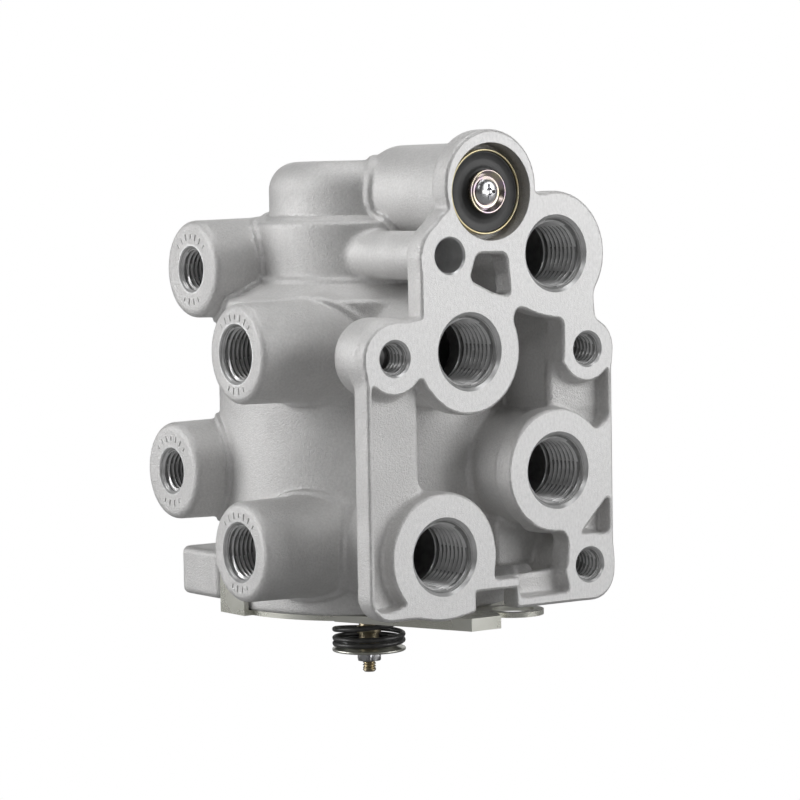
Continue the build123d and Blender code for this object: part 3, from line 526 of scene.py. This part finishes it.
def threaded(name, axes, start, end, crest_r, height, pitch, taper, materials, lead, tail):
    """A closed screw shape: crests at crest_r (a male thread cut into a hole makes a female one).

    lead and tail are plain (radius, along) rings before and after the thread.
    """
    segments = 72
    per_pitch = 8
    # the share of half a pitch that is flat at the crest, and again at the root
    flat = 0.12
    rows = int((end - start) / pitch * per_pitch)
    rings = [[(r, a)] * segments for r, a in lead]
    for j in range(rows + 1):
        along = start + (end - start) * j / rows
        ring = []
        fade = min(1.0, j / per_pitch, (rows - j) / per_pitch)
        for i in range(segments):
            phase = (along / pitch - i / segments) % 1.0
            tooth = abs(2 * phase - 1)
            tooth = min(1.0, max(0.0, (tooth - flat) / (1 - 2 * flat)))
            ring.append((crest_r - taper * (along - start) - height * tooth * fade, along))
        rings.append(ring)
    rings += [[(r, a)] * segments for r, a in tail]
    verts = [
        axes.at(r, 2 * math.pi * i / segments, a) for ring in rings for i, (r, a) in enumerate(ring)
    ]
    faces = []
    for j in range(len(rings) - 1):
        for i in range(segments):
            k = (i + 1) % segments
            faces.append((j * segments + i, j * segments + k, (j + 1) * segments + k, (j + 1) * segments + i))
    first, last = len(verts), len(verts) + 1
    verts.append(axes.at(0, 0, rings[0][0][1]))
    verts.append(axes.at(0, 0, rings[-1][0][1]))
    top = (len(rings) - 1) * segments
    for i in range(segments):
        k = (i + 1) % segments
        faces.append((first, k, i))
        faces.append((last, top + i, top + k))
    made = new_object(name, verts, faces, materials)
    outward(made)
    return made


def box_between(name, low, high):
    """A box from its low corner to its high corner."""
    x0, y0, z0 = low
    x1, y1, z1 = high
    verts = [(x, y, z) for z in (z0, z1) for y in (y0, y1) for x in (x0, x1)]
    faces = [(0, 2, 3, 1), (4, 5, 7, 6), (0, 1, 5, 4), (2, 6, 7, 3), (0, 4, 6, 2), (1, 3, 7, 5)]
    made = new_object(name, verts, faces, [])
    outward(made)
    return made


def cut(target, cutters):
    """Subtract each closed cutter from the closed target and remove the cutters."""
    looks = list(target.data.materials)
    for cutter in cutters:
        step = target.modifiers.new("cut", "BOOLEAN")
        step.operation = "DIFFERENCE"
        step.solver = "MANIFOLD"
        step.object = cutter
        settle(target)
        bpy.data.objects.remove(cutter)
    # a cutter leaves an empty material slot behind
    target.data.materials.clear()
    for look in looks:
        target.data.materials.append(look)


def settle(target):
    """Apply every modifier of an object."""
    graph = bpy.context.evaluated_depsgraph_get()
    mesh = bpy.data.meshes.new_from_object(target.evaluated_get(graph))
    old = target.data
    target.modifiers.clear()
    target.data = mesh
    mesh.name = old.name
    bpy.data.meshes.remove(old)


# ---------------------------------------------------------------- the casting as a distance field
# the grid's step and its box
STEP = 0.6
LOW = np.array((-56.0, -4.5, -80.0))
HIGH = np.array((72.0, 111.0, 66.0))
# extra metal on the front and bottom faces, for the milling cuts to take off
FRONT_STOCK = 0.1
# a flange cutter starts this far ahead of the mounting face
AHEAD_Y = -9.0
BEAD_R = 0.75


def axis_points(i):
    """The grid's stations along one axis."""
    return np.arange(LOW[i], HIGH[i], STEP, dtype=np.float32)


GX = axis_points(0)[:, None, None]
GY = axis_points(1)[None, :, None]
GZ = axis_points(2)[None, None, :]


def join(a, b, radius):
    """Union with a round fillet where the shapes meet."""
    return np.maximum(radius, np.minimum(a, b)) - np.hypot(
        np.maximum(radius - a, 0), np.maximum(radius - b, 0)
    )


def carve(a, b, radius):
    """Take b out of a, rounding the edge that is left."""
    return np.minimum(-radius, np.maximum(a, -b)) + np.hypot(
        np.maximum(radius + a, 0), np.maximum(radius - b, 0)
    )


def seam(a, b, radius):
    """Union with a fillet that has a low raised bead along it, as a die-cast root has."""
    middle = 0.3 * radius + 0.1
    bead = np.hypot(a - middle, b - middle) - BEAD_R
    return join(join(a, b, radius), bead, 0.5)


def slab(across, along, low, high, edge=0.0):
    """The distance to a shape with an across distance, from low to high along, edges rounded."""
    dx = across + edge
    dy = np.abs(along - (low + high) / 2) - (high - low) / 2 + edge
    return np.minimum(np.maximum(dx, dy), 0) + np.hypot(np.maximum(dx, 0), np.maximum(dy, 0)) - edge


def polygon(u, v, corners):
    """The signed distance to a polygon on the grid of u and v."""
    best = np.full(np.broadcast(u, v).shape, 1e9, np.float32)
    inside = np.zeros(best.shape, bool)
    for (ax, ay), (bx, by) in zip(corners, corners[1:] + corners[:1]):
        ex, ey = bx - ax, by - ay
        t = np.clip(((u - ax) * ex + (v - ay) * ey) / (ex * ex + ey * ey), 0, 1)
        best = np.minimum(best, (u - ax - ex * t) ** 2 + (v - ay - ey * t) ** 2)
        if ay != by:
            crosses = ((v >= ay) != (v >= by)) & (u < ax + ex * (v - ay) / ey)
            inside ^= crosses
    return np.where(inside, -1, 1) * np.sqrt(best)


def convex(u, v, corners, radius):
    """The distance to a convex polygon whose corners are rounded; near the polygon only."""
    area = sum(ax * by - bx * ay for (ax, ay), (bx, by) in zip(corners, corners[1:] + corners[:1]))
    turn = 1 if area > 0 else -1
    total = 0
    deepest = -1e9
    for (ax, ay), (bx, by) in zip(corners, corners[1:] + corners[:1]):
        ex, ey = bx - ax, by - ay
        edge = turn * ((u - ax) * ey - (v - ay) * ex) / math.hypot(ex, ey)
        deepest = np.maximum(deepest, edge)
        total = total + np.maximum(edge + radius, 0) ** 2
    return np.sqrt(total) - radius + np.minimum(deepest + radius, 0)


def disc(u, v, centre, radius):
    """The distance to a disc."""
    return np.hypot(u - centre[0], v - centre[1]) - radius


def flange_field():
    """The mounting flange: outline, recessed webs, windows and the notch, with stock in front."""
    x, z = GX[:, 0, :], GZ[0]
    outline = polygon(
        x,
        z,
        [
            (FLANGE_LEFT_X + FLANGE_CORNER_R, BOLT_LEFT[1]),
            (FLANGE_LEFT_X + FLANGE_CORNER_R, FLANGE_BOTTOM_Z + FLANGE_CORNER_R),
            (FLANGE_RIGHT_X - FLANGE_CORNER_R, FLANGE_BOTTOM_Z + FLANGE_CORNER_R),
            (FLANGE_RIGHT_X - FLANGE_CORNER_R, BOLT_RIGHT[1]),
        ],
    ) - FLANGE_CORNER_R
    outline = np.maximum(outline, z - 5.0)
    for centre, radius in LANDS + [EXHAUST_LAND]:
        outline = join(outline, disc(x, z, centre, radius), 1.6)
    web = polygon(
        x,
        z,
        [
            (BOLT_LEFT[0], 8.9),
            (PILOT[0] - PILOT_LAND_R, 10.4),
            (PILOT[0] - PILOT_LAND_R, PILOT[1]),
            (-9.4, 38.6),
            (6.0, 48.0),
            (26.0, 44.0),
            (UPPER_PORT[0] + 14.0, UPPER_PORT[1] - 11.0),
            (UPPER_PORT[0] + 14.6, 8.0),
            (UPPER_PORT[0] + 14.6, -4.0),
            (BOLT_LEFT[0], -4.0),
        ],
    )
    outline = join(outline, web, 1.0)
    field = slab(outline[:, None, :], GY, -FRONT_STOCK, FLANGE_T, 1.2)

    left, right = FLANGE_LEFT_X + LIP, FLANGE_RIGHT_X - LIP
    recess = 1e3
    for corners, radius in (
        ([(left, -6.9), (left, -71.0), (-24.2, -71.0), (-9.7, -57.2), (-9.7, -6.9)], 3.0),
        ([(31.0, -5.0), (right, -5.0), (right, -24.0), (46.0, -24.0), (31.0, -35.4), (30.0, -12.0)], 1.0),
        ([(right, -44.0), (right, -54.8), (39.0, -54.8)], 1.3),
        ([(16.9, -52.0), (16.9, -71.0), (34.4, -71.0), (34.4, -55.6), (30.0, -50.0)], 1.6),
    ):
        recess = np.minimum(recess, convex(x, z, corners, radius))
    for centre, radius in LANDS:
        recess = carve(recess, disc(x, z, centre, radius), 0.8)
    field = carve(field, slab(recess[:, None, :], GY, AHEAD_Y, RECESS_DEPTH, 1.2), 0.9)

    small = convex(x, z, [(3.2, 27.4), (13.2, 27.2), (14.4, 15.4), (11.2, 15.4), (0.8, 20.2)], 1.6)
    large = polygon(
        x,
        z,
        rounded([
            (15.6, 8.0),
            (17.4, 12.0),
            (23.3, 9.9),
            (33.4, 8.0),
            (33.3, -3.0),
            (31.8, -9.0),
            (31.8, -30.0),
            (24.0, -42.0),
            (22.6, -52.7),
            (33.8, -54.2),
            (33.8, -64.2),
            (16.4, -65.0),
            (7.7, -65.0),
            (7.7, -56.0),
            (-6.0, -44.0),
            (-15.0, -37.0),
            (-15.0, -10.8),
            (-12.0, -6.0),
            (0.5, -4.0),
        ], 2.0),
    )
    for centre, radius in LANDS[:4]:
        large = carve(large, disc(x, z, centre, radius), 1.4)
    notch = polygon(x, z, [(1.3, -68.2), (15.4, -68.2), (15.4, -90.0), (1.3, -90.0)])
    for hole in (small, large, notch):
        field = carve(field, slab(hole[:, None, :], GY, AHEAD_Y, FLANGE_T + 1.5), 1.1)
    return field


def barrel_field():
    """The stacked cylinders about the vertical axis."""
    rho = np.hypot(GX - AXIS[0], GY - AXIS[1])
    barrel_top = BARREL_TOP_Z + BARREL_EDGE
    barrel = slab(rho - BARREL_R, GZ, BOTTOM_Z - FRONT_STOCK, barrel_top, BARREL_EDGE)
    slope = (BARREL_R - SHOULDER_R) / (SHOULDER_FOOT_Z - BARREL_TOP_Z)
    lean = 1 / math.hypot(1, slope)
    cone = (rho - BARREL_R + (GZ - BARREL_TOP_Z) * slope) * lean
    cone = np.maximum(np.maximum(cone, rho - BARREL_R), BARREL_TOP_Z - 8.0 - GZ)
    field = join(barrel, np.maximum(cone, GZ - SHOULDER_FOOT_Z - 1.0), 1.5)
    shoulder = slab(rho - SHOULDER_R, GZ, 0.0, CAP_FOOT_Z, SHOULDER_EDGE)
    field = seam(field, shoulder, SHOULDER_EDGE)
    cap = slab(rho - CAP_R, GZ, 0.0, CAP_TOP_Z, CAP_EDGE)
    return seam(field, cap, SHOULDER_EDGE)


def tube_field(centre, radius, low, high, edge=1.0):
    """A round tube running back from the flange, from y = low to high."""
    return slab(disc(GX, GZ, centre, radius), GY, low, high, edge)


def boss_field(y, z, face_x, side):
    """A side boss: a slightly conical stub with a rounded rim."""
    x = face_x if side < 0 else 2 * AXIS[0] - face_x
    run = (x - GX) * side
    rho = np.hypot(GY - y, GZ - z)
    length = abs(x - AXIS[0]) - 10.0
    radius = BOSS_FACE_R + (BOSS_ROOT_R - BOSS_FACE_R) * np.clip(run, 0, length) / length
    return slab(rho - radius, run, MARK_HEIGHT, abs(x - AXIS[0]), BOSS_EDGE)


def casting_field():
    """The whole casting before its holes are cut."""
    field = barrel_field()
    for port, _ in PASSAGES:
        field = join(field, tube_field(port, LAND_R - 1.4, 2.0, 46.0), 2.2)
    field = seam(field, tube_field(EXHAUST, 14.0, 2.0, 49.0, 7.0), 2.4)
    field = join(field, tube_field(PILOT, 7.0, 2.0, 45.0), 1.5)
    field = join(field, tube_field(BOLT_LEFT, 11.2, 2.0, 15.0, 2.4), 2.0)
    for bolt in (BOLT_RIGHT, BOLT_LOW):
        field = join(field, tube_field(bolt, 9.3, 2.0, 17.0, 1.4), 2.0)
    for (low_x, high_x), (low_z, high_z), near_y in RIGHT_WEBS:
        flat = convex(GX, GZ, [(low_x, low_z), (high_x, low_z), (high_x, high_z), (low_x, high_z)], 1.5)
        field = join(field, slab(flat, GY, near_y, WEB_FAR_Y, 1.5), 2.0)
    rib = polygon(GX[:, :, 0], GY[:, :, 0], [(-31.0, 5.0), (-6.0, 5.0), (-6.0, 40.0), (-18.0, 40.0)])
    field = join(field, slab(rib[:, :, None], GZ, -3.9, 2.1, 1.2), 1.8)
    for y, z, face_x, _ in BOSSES:
        for side in (-1, 1):
            field = seam(field, boss_field(y, z, face_x, side), 2.4)
    for side in (-1, 1):
        x0, x1 = sorted((AXIS[0], AXIS[0] + side * FOOT_REACH))
        x0, x1 = x0 + FOOT_CORNER_R, x1 - FOOT_CORNER_R
        y0, y1 = FOOT_Y
        low, high = (BOTTOM_Z + rise for rise in FOOT_RISE)
        foot = polygon(GX[:, :, 0], GY[:, :, 0], [(x0, y0), (x1, y0), (x1, y1), (x0, y1)]) - FOOT_CORNER_R
        field = join(field, slab(foot[:, :, None], GZ, low, high, 2.0), 2.0)
    field = join(field, flange_field(), 1.6)
    # the beads stay inside the overall size
    return np.maximum(field, np.maximum(GY - BACK_Y, GZ - TOP_Z))


def field_mesh(name, field):
    """The surface where a field on the grid is zero."""
    grid = openvdb.FloatGrid(background=3 * STEP)
    grid.copyFromArray(np.ascontiguousarray(np.clip(field, -3 * STEP, 3 * STEP), dtype=np.float32))
    points, quads = grid.convertToQuads(isovalue=0.0)
    points = points * STEP + LOW
    made = new_object(name, points.tolist(), [tuple(int(i) for i in q) for q in quads], [])
    outward(made)
    return made


# ---------------------------------------------------------------- holes cut into the casting
# root and deep are painted shade: darker greys for the thread grooves and the deep passages
CASTING_LOOKS = ("cast", "milled", "thread", "turned", "deep", "root")
CAST, MILLED, THREAD, TURNED, DEEP, ROOT = range(len(CASTING_LOOKS))


def port_cutter(axes, size, passage):
    """A threaded hole with a chamfered mouth, and its passage or the drill's point behind it."""
    wall_r, mouth_r, depth, passage_r, pitch, height = size
    lead = [(mouth_r + CLEAR, -CLEAR), (wall_r, mouth_r - wall_r)]
    if passage_r:
        tail = [(max(passage_r + 0.3, wall_r - 1.6), depth), (passage_r, depth + 0.3), (passage_r, passage)]
    else:
        tail = [(wall_r - 1.0, depth), (0.6, depth + 2.0)]
    taper = 1 / 32 if passage_r else 0.0
    start = mouth_r - wall_r + 0.05
    return threaded("cutter", axes, start, depth - 0.2, wall_r, height, pitch, taper, [], lead, tail)


def axial_cutter():
    """The three chambers and the bores between them, about the vertical axis."""
    profile = [
        (0, BOTTOM_Z - 5.0),
        (LOWER_BORE_R, BOTTOM_Z - 5.0),
        (LOWER_BORE_R, LOWER_BORE_TOP_Z),
        (GUIDE_BORE_R, LOWER_BORE_TOP_Z),
        (GUIDE_BORE_R, -30.4),
        (RING_GROOVE_R, -30.4),
        (RING_GROOVE_R, -28.9),
        (GUIDE_BORE_R, -28.9),
        (GUIDE_BORE_R, -24.0),
        (GUIDE_STOP_R, -24.0),
        (GUIDE_STOP_R, MIDDLE_FLOOR_Z),
        (MIDDLE_BORE_R, MIDDLE_FLOOR_Z),
        (MIDDLE_BORE_R, MIDDLE_TOP_Z),
        (STEM_BORE_R, MIDDLE_TOP_Z),
        (STEM_BORE_R, UPPER_FLOOR_Z),
        (UPPER_BORE_R, UPPER_FLOOR_Z),
        (UPPER_BORE_R, UPPER_TOP_Z),
        (0, UPPER_TOP_Z),
    ]
    return lathe("cutter", VERTICAL, profile, [], 96)


def exhaust_cutter():
    """The bore that holds the exhaust check, its sleeve's thread and the vent behind."""
    profile = [
        (0, -CLEAR),
        (EXHAUST_BORE_R + 1.1, -CLEAR),
        (EXHAUST_BORE_R, 0.1),
        (EXHAUST_BORE_R, 6.6),
        (EXHAUST_SLEEVE_R, 6.6),
        (EXHAUST_SLEEVE_R, 27.0),
        (EXHAUST_VENT_R, 27.0),
        (EXHAUST_VENT_R, 44.0),
        (0, 44.0),
    ]
    return lathe("cutter", into_face(*EXHAUST), profile, [], 96)


def pilot_cutter():
    """The plain pilot bore with a chamfered mouth."""
    profile = [
        (0, -CLEAR),
        (PILOT_MOUTH_R, -CLEAR),
        (PILOT_R, 0.5),
        (PILOT_R, PILOT_DEPTH),
        (0, PILOT_DEPTH),
    ]
    return lathe("cutter", into_face(*PILOT), profile, [], 64)


def screw_hole_cutter(i):
    """One of the cover screws' holes in the bottom face."""
    angle = math.radians(30 + 360 * i / SCREW_COUNT)
    x = AXIS[0] + SCREW_CIRCLE_R * math.cos(angle)
    y = AXIS[1] + SCREW_CIRCLE_R * math.sin(angle)
    profile = [(0, -5.0), (SCREW_HOLE_R, -5.0), (SCREW_HOLE_R, SCREW_HOLE_DEPTH), (0, SCREW_HOLE_DEPTH)]
    return lathe("cutter", Axes((x, y, BOTTOM_Z), (0, 0, 1), (1, 0, 0)), profile, [], 24)


def casting(materials):
    """The valve body: the field's surface, machined flat, bored, threaded and painted."""
    body = field_mesh("casting", casting_field())
    low, (far_x, far_y, far_z) = (-90.0, -20.0, -120.0), (110.0, 140.0, 90.0)
    cutters = [
        box_between("cutter", low, (far_x, 0.0, far_z)),
        box_between("cutter", low, (far_x, far_y, BOTTOM_Z)),
        axial_cutter(),
    ]
    for port, passage in PASSAGES:
        cutters.append(port_cutter(into_face(*port), HALF_INCH, passage))
    for y, z, face_x, size in BOSSES:
        for side in (-1, 1):
            cutters.append(port_cutter(into_side(y, z, face_x, side), size, abs(face_x) - 4.0))
    cutters.append(port_cutter(into_face(*BOLT_LEFT), SHORT_BOLT_HOLE, 0))
    for bolt in (BOLT_RIGHT, BOLT_LOW):
        cutters.append(port_cutter(into_face(*bolt), BOLT_HOLE, 0))
    cutters += [pilot_cutter(), exhaust_cutter()]
    cutters += [screw_hole_cutter(i) for i in range(SCREW_COUNT)]
    cut(body, cutters)
    for look in CASTING_LOOKS:
        body.data.materials.append(materials[look])
    soften(body, 32.0)
    paint_casting(body)
    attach(body, "body")
    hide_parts("valve_body")


def paint_casting(body):
    """Milled front and bottom faces, bright threads and turned bores, with painted shade as darker greys in
    the thread roots and the deep passages; the rest stays as cast.
    """
    mesh = body.data
    count = len(mesh.polygons)
    centre = np.zeros(count * 3)
    normal = np.zeros(count * 3)
    mesh.polygons.foreach_get("center", centre)
    mesh.polygons.foreach_get("normal", normal)
    c, n = centre.reshape(-1, 3) / MM, normal.reshape(-1, 3)
    kind = np.zeros(count, np.int32)
    kind[(np.abs(c[:, 1]) < 0.02) & (n[:, 1] < -0.99)] = MILLED
    kind[(np.abs(c[:, 2] - BOTTOM_Z) < 0.02) & (n[:, 2] < -0.99)] = MILLED
    mesh.polygons.foreach_set("use_smooth", kind != MILLED)

    def near(axes, radius, depth, value, thread=None):
        """Paint the faces within a radius of an axis; a thread's far flanks count as its root and get the
        root's painted shade, a darker grey.
        """
        to = c - axes.start
        along = to @ axes.along
        off = np.linalg.norm(to - along[:, None] * axes.along, axis=1)
        inside = (off < radius) & (along > 0.01) & (along < depth)
        kind[inside] = value
        if thread:
            # painted shade: the flanks beyond this radius lie in the grooves and take the darker root grey
            root_r = thread.wall_r - 0.45 * thread.height - 0.032 * along
            kind[inside & (off > root_r) & (along > 1.3)] = ROOT

    for port, _ in PASSAGES:
        # painted shade: each port's passage takes the dark deep grey, and the threads near the mouth paint
        # over it
        near(into_face(*port), HALF_INCH.mouth_r + 0.1, 45.0, DEEP)
        near(into_face(*port), HALF_INCH.mouth_r + 0.1, HALF_INCH.depth + 0.2, THREAD, HALF_INCH)
    for bolt in (BOLT_LEFT, BOLT_RIGHT, BOLT_LOW):
        near(into_face(*bolt), BOLT_HOLE.mouth_r + 0.05, BOLT_HOLE.depth + 2.0, THREAD, BOLT_HOLE)
    near(into_face(*PILOT), PILOT_R + 0.6, PILOT_DEPTH + 0.5, THREAD)
    for y, z, face_x, size in BOSSES:
        for side in (-1, 1):
            axes = into_side(y, z, face_x, side)
            # painted shade: the boss passages take the dark deep grey
            near(axes, size.passage_r + 0.3, abs(face_x) - 3.9, DEEP)
            near(axes, size.mouth_r + 0.1, size.depth + 0.3, THREAD, size)
    rho = np.hypot(c[:, 0] - AXIS[0], c[:, 1] - AXIS[1])
    # the chambers on the vertical axis
    inner = (rho < LOWER_BORE_R + 0.1) & (c[:, 2] < MIDDLE_FLOOR_Z)
    inner |= (rho < MIDDLE_BORE_R + 0.1) & (c[:, 2] < MIDDLE_TOP_Z + 1.0)
    inner |= (rho < UPPER_BORE_R + 0.1) & (c[:, 2] < UPPER_TOP_Z + 0.1)
    kind[inner & (kind == CAST) & (c[:, 1] > 27.0)] = TURNED
    mesh.polygons.foreach_set("material_index", kind)


# ---------------------------------------------------------------- small pieces
def finish_piece(made, body, slot, *cad_nodes):
    """Attach a finished piece to its body and hide the CAD nodes it stands for; slot is not used."""
    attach(made, body)
    if cad_nodes:
        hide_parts(*cad_nodes)


def spring(name, axes, mean_r, wire_r, stations, look, slot):
    """A wire coil through (turn, along) stations."""
    per_turn, around = 40, 10
    turns = [t for t, _ in stations]
    count = int((turns[-1] - turns[0]) * per_turn)
    verts, faces = [], []
    for i in range(count + 1):
        turn = turns[0] + (turns[-1] - turns[0]) * i / count
        nearby = [np.interp(turn + k * 0.04, turns, [a for _, a in stations]) for k in (-2, -1, 0, 1, 2)]
        along = sum(nearby) / 5
        for j in range(around):
            angle = 2 * math.pi * j / around
            verts.append(
                axes.at(
                    mean_r + wire_r * math.cos(angle), 2 * math.pi * turn, along + wire_r * math.sin(angle)
                )
            )
    for i in range(count):
        for j in range(around):
            k = (j + 1) % around
            faces.append((i * around + j, i * around + k, (i + 1) * around + k, (i + 1) * around + j))
    faces.append(tuple(range(around)))
    faces.append(tuple(range(count * around, (count + 1) * around)))
    made = new_object(name + "_coils", verts, faces, [look])
    outward(made)
    soften(made, 60.0)
    finish_piece(made, "body", slot, name)
    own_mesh(made)


def even_stations(start, end, turns):
    """Closed end coils and an even pitch between them."""
    return [(0.0, start), (0.5, start), (turns - 0.5, end), (turns, end)]


def hexagon_ring(name, axes, corner_r, bore_r, low, high, look):
    """A hexagonal nut with its corners turned off at both ends."""
    segments = 48
    chamfer = 0.35
    flat_r = corner_r * math.cos(math.pi / 6)

    def reach(i):
        """How far the hexagon's side is from the axis at this station."""
        return flat_r / math.cos((2 * math.pi * i / segments) % (math.pi / 3) - math.pi / 6)

    rings = [
        ([min(reach(i), flat_r + 0.05) for i in range(segments)], low),
        ([reach(i) for i in range(segments)], low + chamfer),
        ([reach(i) for i in range(segments)], high - chamfer),
        ([min(reach(i), flat_r + 0.05) for i in range(segments)], high),
        ([bore_r + chamfer] * segments, high),
        ([bore_r] * segments, high - chamfer),
        ([bore_r] * segments, low + chamfer),
        ([bore_r + chamfer] * segments, low),
    ]
    verts = [
        axes.at(radii[i], 2 * math.pi * i / segments, along)
        for radii, along in rings
        for i in range(segments)
    ]
    faces = []
    for j in range(len(rings)):
        after = (j + 1) % len(rings)
        for i in range(segments):
            k = (i + 1) % segments
            near, far = j * segments, after * segments
            faces.append((near + i, near + k, far + k, far + i))
    made = new_object(name, verts, faces, [look])
    outward(made)
    soften(made, 25.0)
    return made


def exhaust_check(materials):
    """The exhaust disc, its cups and the cross-headed screw seen in the mounting face."""
    axes = into_face(*EXHAUST)
    cup = lathe(
        "exhaust_cup",
        axes,
        rounded(
            [(2.05, 5.6), (11.5, 5.6), (11.5, 2.8), (12.1, 2.8), (12.1, 5.7), (11.6, 6.2), (2.05, 6.2)],
            0.28,
        ),
        [materials["yellow_zinc"]],
        96,
    )
    finish_piece(cup, "exhaust_check", "zinc_yellow", "exhaust_disc_cup")
    rubber = lathe(
        "exhaust_rubber",
        axes,
        rounded(
            [
                (2.05, 3.0),
                (6.45, 3.0),
                (7.6, 3.55),
                (9.2, 3.75),
                (10.6, 3.5),
                (11.45, 3.2),
                (11.45, 5.6),
                (2.05, 5.6),
            ],
            0.4,
            4,
        ),
        [materials["rubber"]],
        96,
    )
    finish_piece(rubber, "exhaust_check", "rubber_black", "exhaust_rubber_disc")
    inner = lathe(
        "exhaust_small_cup",
        axes,
        rounded(
            [(2.05, 2.4), (4.6, 2.4), (5.75, 1.4), (6.25, 1.4), (6.25, 2.5), (5.75, 3.0), (2.05, 3.0)], 0.25
        ),
        [materials["rainbow_zinc"]],
        96,
    )
    finish_piece(inner, "exhaust_check", "zinc_yellow", "exhaust_inner_cup")
    screw = lathe(
        "exhaust_cross_screw",
        axes,
        [
            (0, 0.87),
            (1.2, 0.92),
            (2.3, 1.12),
            (3.1, 1.42),
            (3.6, 1.8),
            (3.85, 2.15),
            (3.85, 2.4),
            (2.0, 2.4),
            (2.0, 17.0),
            (0, 17.0),
        ],
        [materials["screw"]],
        72,
    )
    x, z = EXHAUST
    slots = []
    for wide, tall in ((2.2, 0.45), (0.45, 2.2)):
        slots.append(box_between("cutter", (x - wide, 0.2, z - tall), (x + wide, 1.9, z + tall)))
    slots.append(lathe("cutter", axes, [(0, 0.2), (1.3, 0.2), (0.9, 2.0), (0, 2.2)], [], 24))
    cut(screw, slots)
    soften(screw, 30.0)
    finish_piece(screw, "exhaust_check", "screw_steel", "exhaust_screw")


def drain_parts(materials):
    """The threaded stem end, its nut and the spring's dished washer under the cover plate."""
    stem = threaded(
        "drain_stem_rod",
        VERTICAL,
        -98.4,
        -92.6,
        2.0,
        0.42,
        0.8,
        0.0,
        [materials["brass"]],
        [(1.55, -98.9)],
        [(2.0, -92.4), (2.0, -62.9), (4.0, -62.9), (4.0, -60.1)],
    )
    soften(stem, 30.0)
    finish_piece(stem, "drain_stem", "brass_turned", "drain_stem")
    nut = hexagon_ring("stem_hexagon_nut", VERTICAL, 3.9, 2.05, -95.5, -92.4, materials["screw"])
    finish_piece(nut, "drain_stem", "screw_steel", "stem_nut")
    washer = lathe(
        "spring_dished_washer",
        VERTICAL,
        rounded(
            [
                (2.05, -92.4),
                (11.1, -92.4),
                (11.1, -91.6),
                (8.9, -91.3),
                (7.2, -90.7),
                (3.1, -90.7),
                (3.1, -91.3),
                (2.05, -91.3),
            ],
            0.3,
        ),
        [materials["zinc"]],
        96,
    )
    finish_piece(washer, "drain_stem", "zinc_yellow", "spring_washer")
    sleeve = lathe(
        "drain_collar_sleeve",
        VERTICAL,
        rounded(
            [
                (2.05, -91.25),
                (3.0, -91.25),
                (3.0, -87.1),
                (3.7, -87.1),
                (3.7, -85.2),
                (3.0, -84.9),
                (3.0, -65.9),
                (2.05, -65.9),
            ],
            0.25,
        ),
        [materials["brass"]],
        48,
    )
    finish_piece(sleeve, "drain_stem", "brass_turned", "drain_sleeve")


def springs(materials):
    """Every spring, each coiled through its own stations along its own axis."""
    black, bright = materials["black_wire"], materials["bright_wire"]
    closed = [
        (0.0, -90.55),
        (0.2, -90.5),
        (1.2, -88.9),
        (2.2, -87.1),
        (3.2, -81.2),
        (3.5, -79.6),
        (3.8, -78.7),
        (4.4, -78.55),
    ]
    spring(
        "drain_spring", VERTICAL, 10.3, 0.8, closed, black, "spring_steel_black",
    )
    spring(
        "relay_poppet_spring", VERTICAL, 10.2, 0.8, even_stations(-23.25, -1.85, 6.0), bright,
        "spring_steel_bright",
    )
    spring(
        "emergency_piston_spring", VERTICAL, 24.0, 1.6, even_stations(-65.55, -52.15, 3.4), bright,
        "spring_steel_bright",
    )
    spring(
        "exhaust_spring", into_face(*EXHAUST), 4.6, 0.5, even_stations(13.05, 19.45, 4.6), bright,
        "spring_steel_bright",
    )
    spring(
        "supply_check_spring", into_face(*SUPPLY), 4.4, 0.4, even_stations(27.05, 31.55, 3.5), bright,
        "spring_steel_bright",
    )


def boss_marks(materials):
    """Small raised strokes in two arcs on each side boss's face, like a foundry's plain marks."""
    verts, faces = [], []
    for y, z, face_x, size in BOSSES:
        arc_r = (size.mouth_r + BOSS_FACE_R - BOSS_EDGE) / 2
        for side in (-1, 1):
            axes = into_side(y, z, face_x, side)
            for middle, count in ((90.0, 7), (-90.0, 4)):
                for i in range(count):
                    angle = math.radians(middle + (i - (count - 1) / 2) * 150.0 / arc_r)
                    long = 1.05 if i % 3 else 0.75
                    a = len(verts)
                    for depth, inset in ((2 * MARK_HEIGHT, 0.0), (0.0, 0.18)):
                        for across, up in ((-0.28, -long), (0.28, -long), (0.28, long), (-0.28, long)):
                            r = arc_r + (up - math.copysign(inset, up))
                            turn = angle + (across - math.copysign(inset, across)) / arc_r
                            verts.append(axes.at(r, turn, depth))
                    faces += [
                        (a, a + 1, a + 2, a + 3),
                        (a + 4, a + 5, a + 6, a + 7),
                        (a, a + 1, a + 5, a + 4),
                        (a + 1, a + 2, a + 6, a + 5),
                        (a + 2, a + 3, a + 7, a + 6),
                        (a + 3, a, a + 4, a + 7),
                    ]
    made = new_object("boss_marks", verts, faces, [materials["cast"]])
    outward(made)
    finish_piece(made, "body", "cast_aluminium")


# ---------------------------------------------------------------- build
camera()
studio()
MATERIALS = make_materials()
casting(MATERIALS)
exhaust_check(MATERIALS)
drain_parts(MATERIALS)
springs(MATERIALS)
boss_marks(MATERIALS)

NODE_MATERIAL = {
    "relay_piston": "plastic",
    "relay_piston_o_ring": "rubber",
    "relay_poppet": "turned",
    "relay_poppet_seal": "rubber",
    "poppet_guide": "brass",
    "poppet_guide_o_ring": "rubber",
    "guide_retaining_ring": "black_wire",
    "emergency_piston": "turned",
    "emergency_piston_o_ring": "rubber",
    "bottom_cap": "turned",
    "bottom_cap_o_ring": "rubber",
    "cover_plate": "zinc",
    "cover_screws": "screw",
    "drain_disc": "rubber",
    "drain_disc_washer": "yellow_zinc",
    "exhaust_sleeve": "yellow_zinc",
    "exhaust_guide": "brass",
    "supply_check_seat": "plastic",
    "supply_check_disc": "rubber",
    "supply_check_cage": "brass",
}
for name, look in NODE_MATERIAL.items():
    nodes[name].data.materials.clear()
    nodes[name].data.materials.append(MATERIALS[look])
    soften(nodes[name], 32.0)
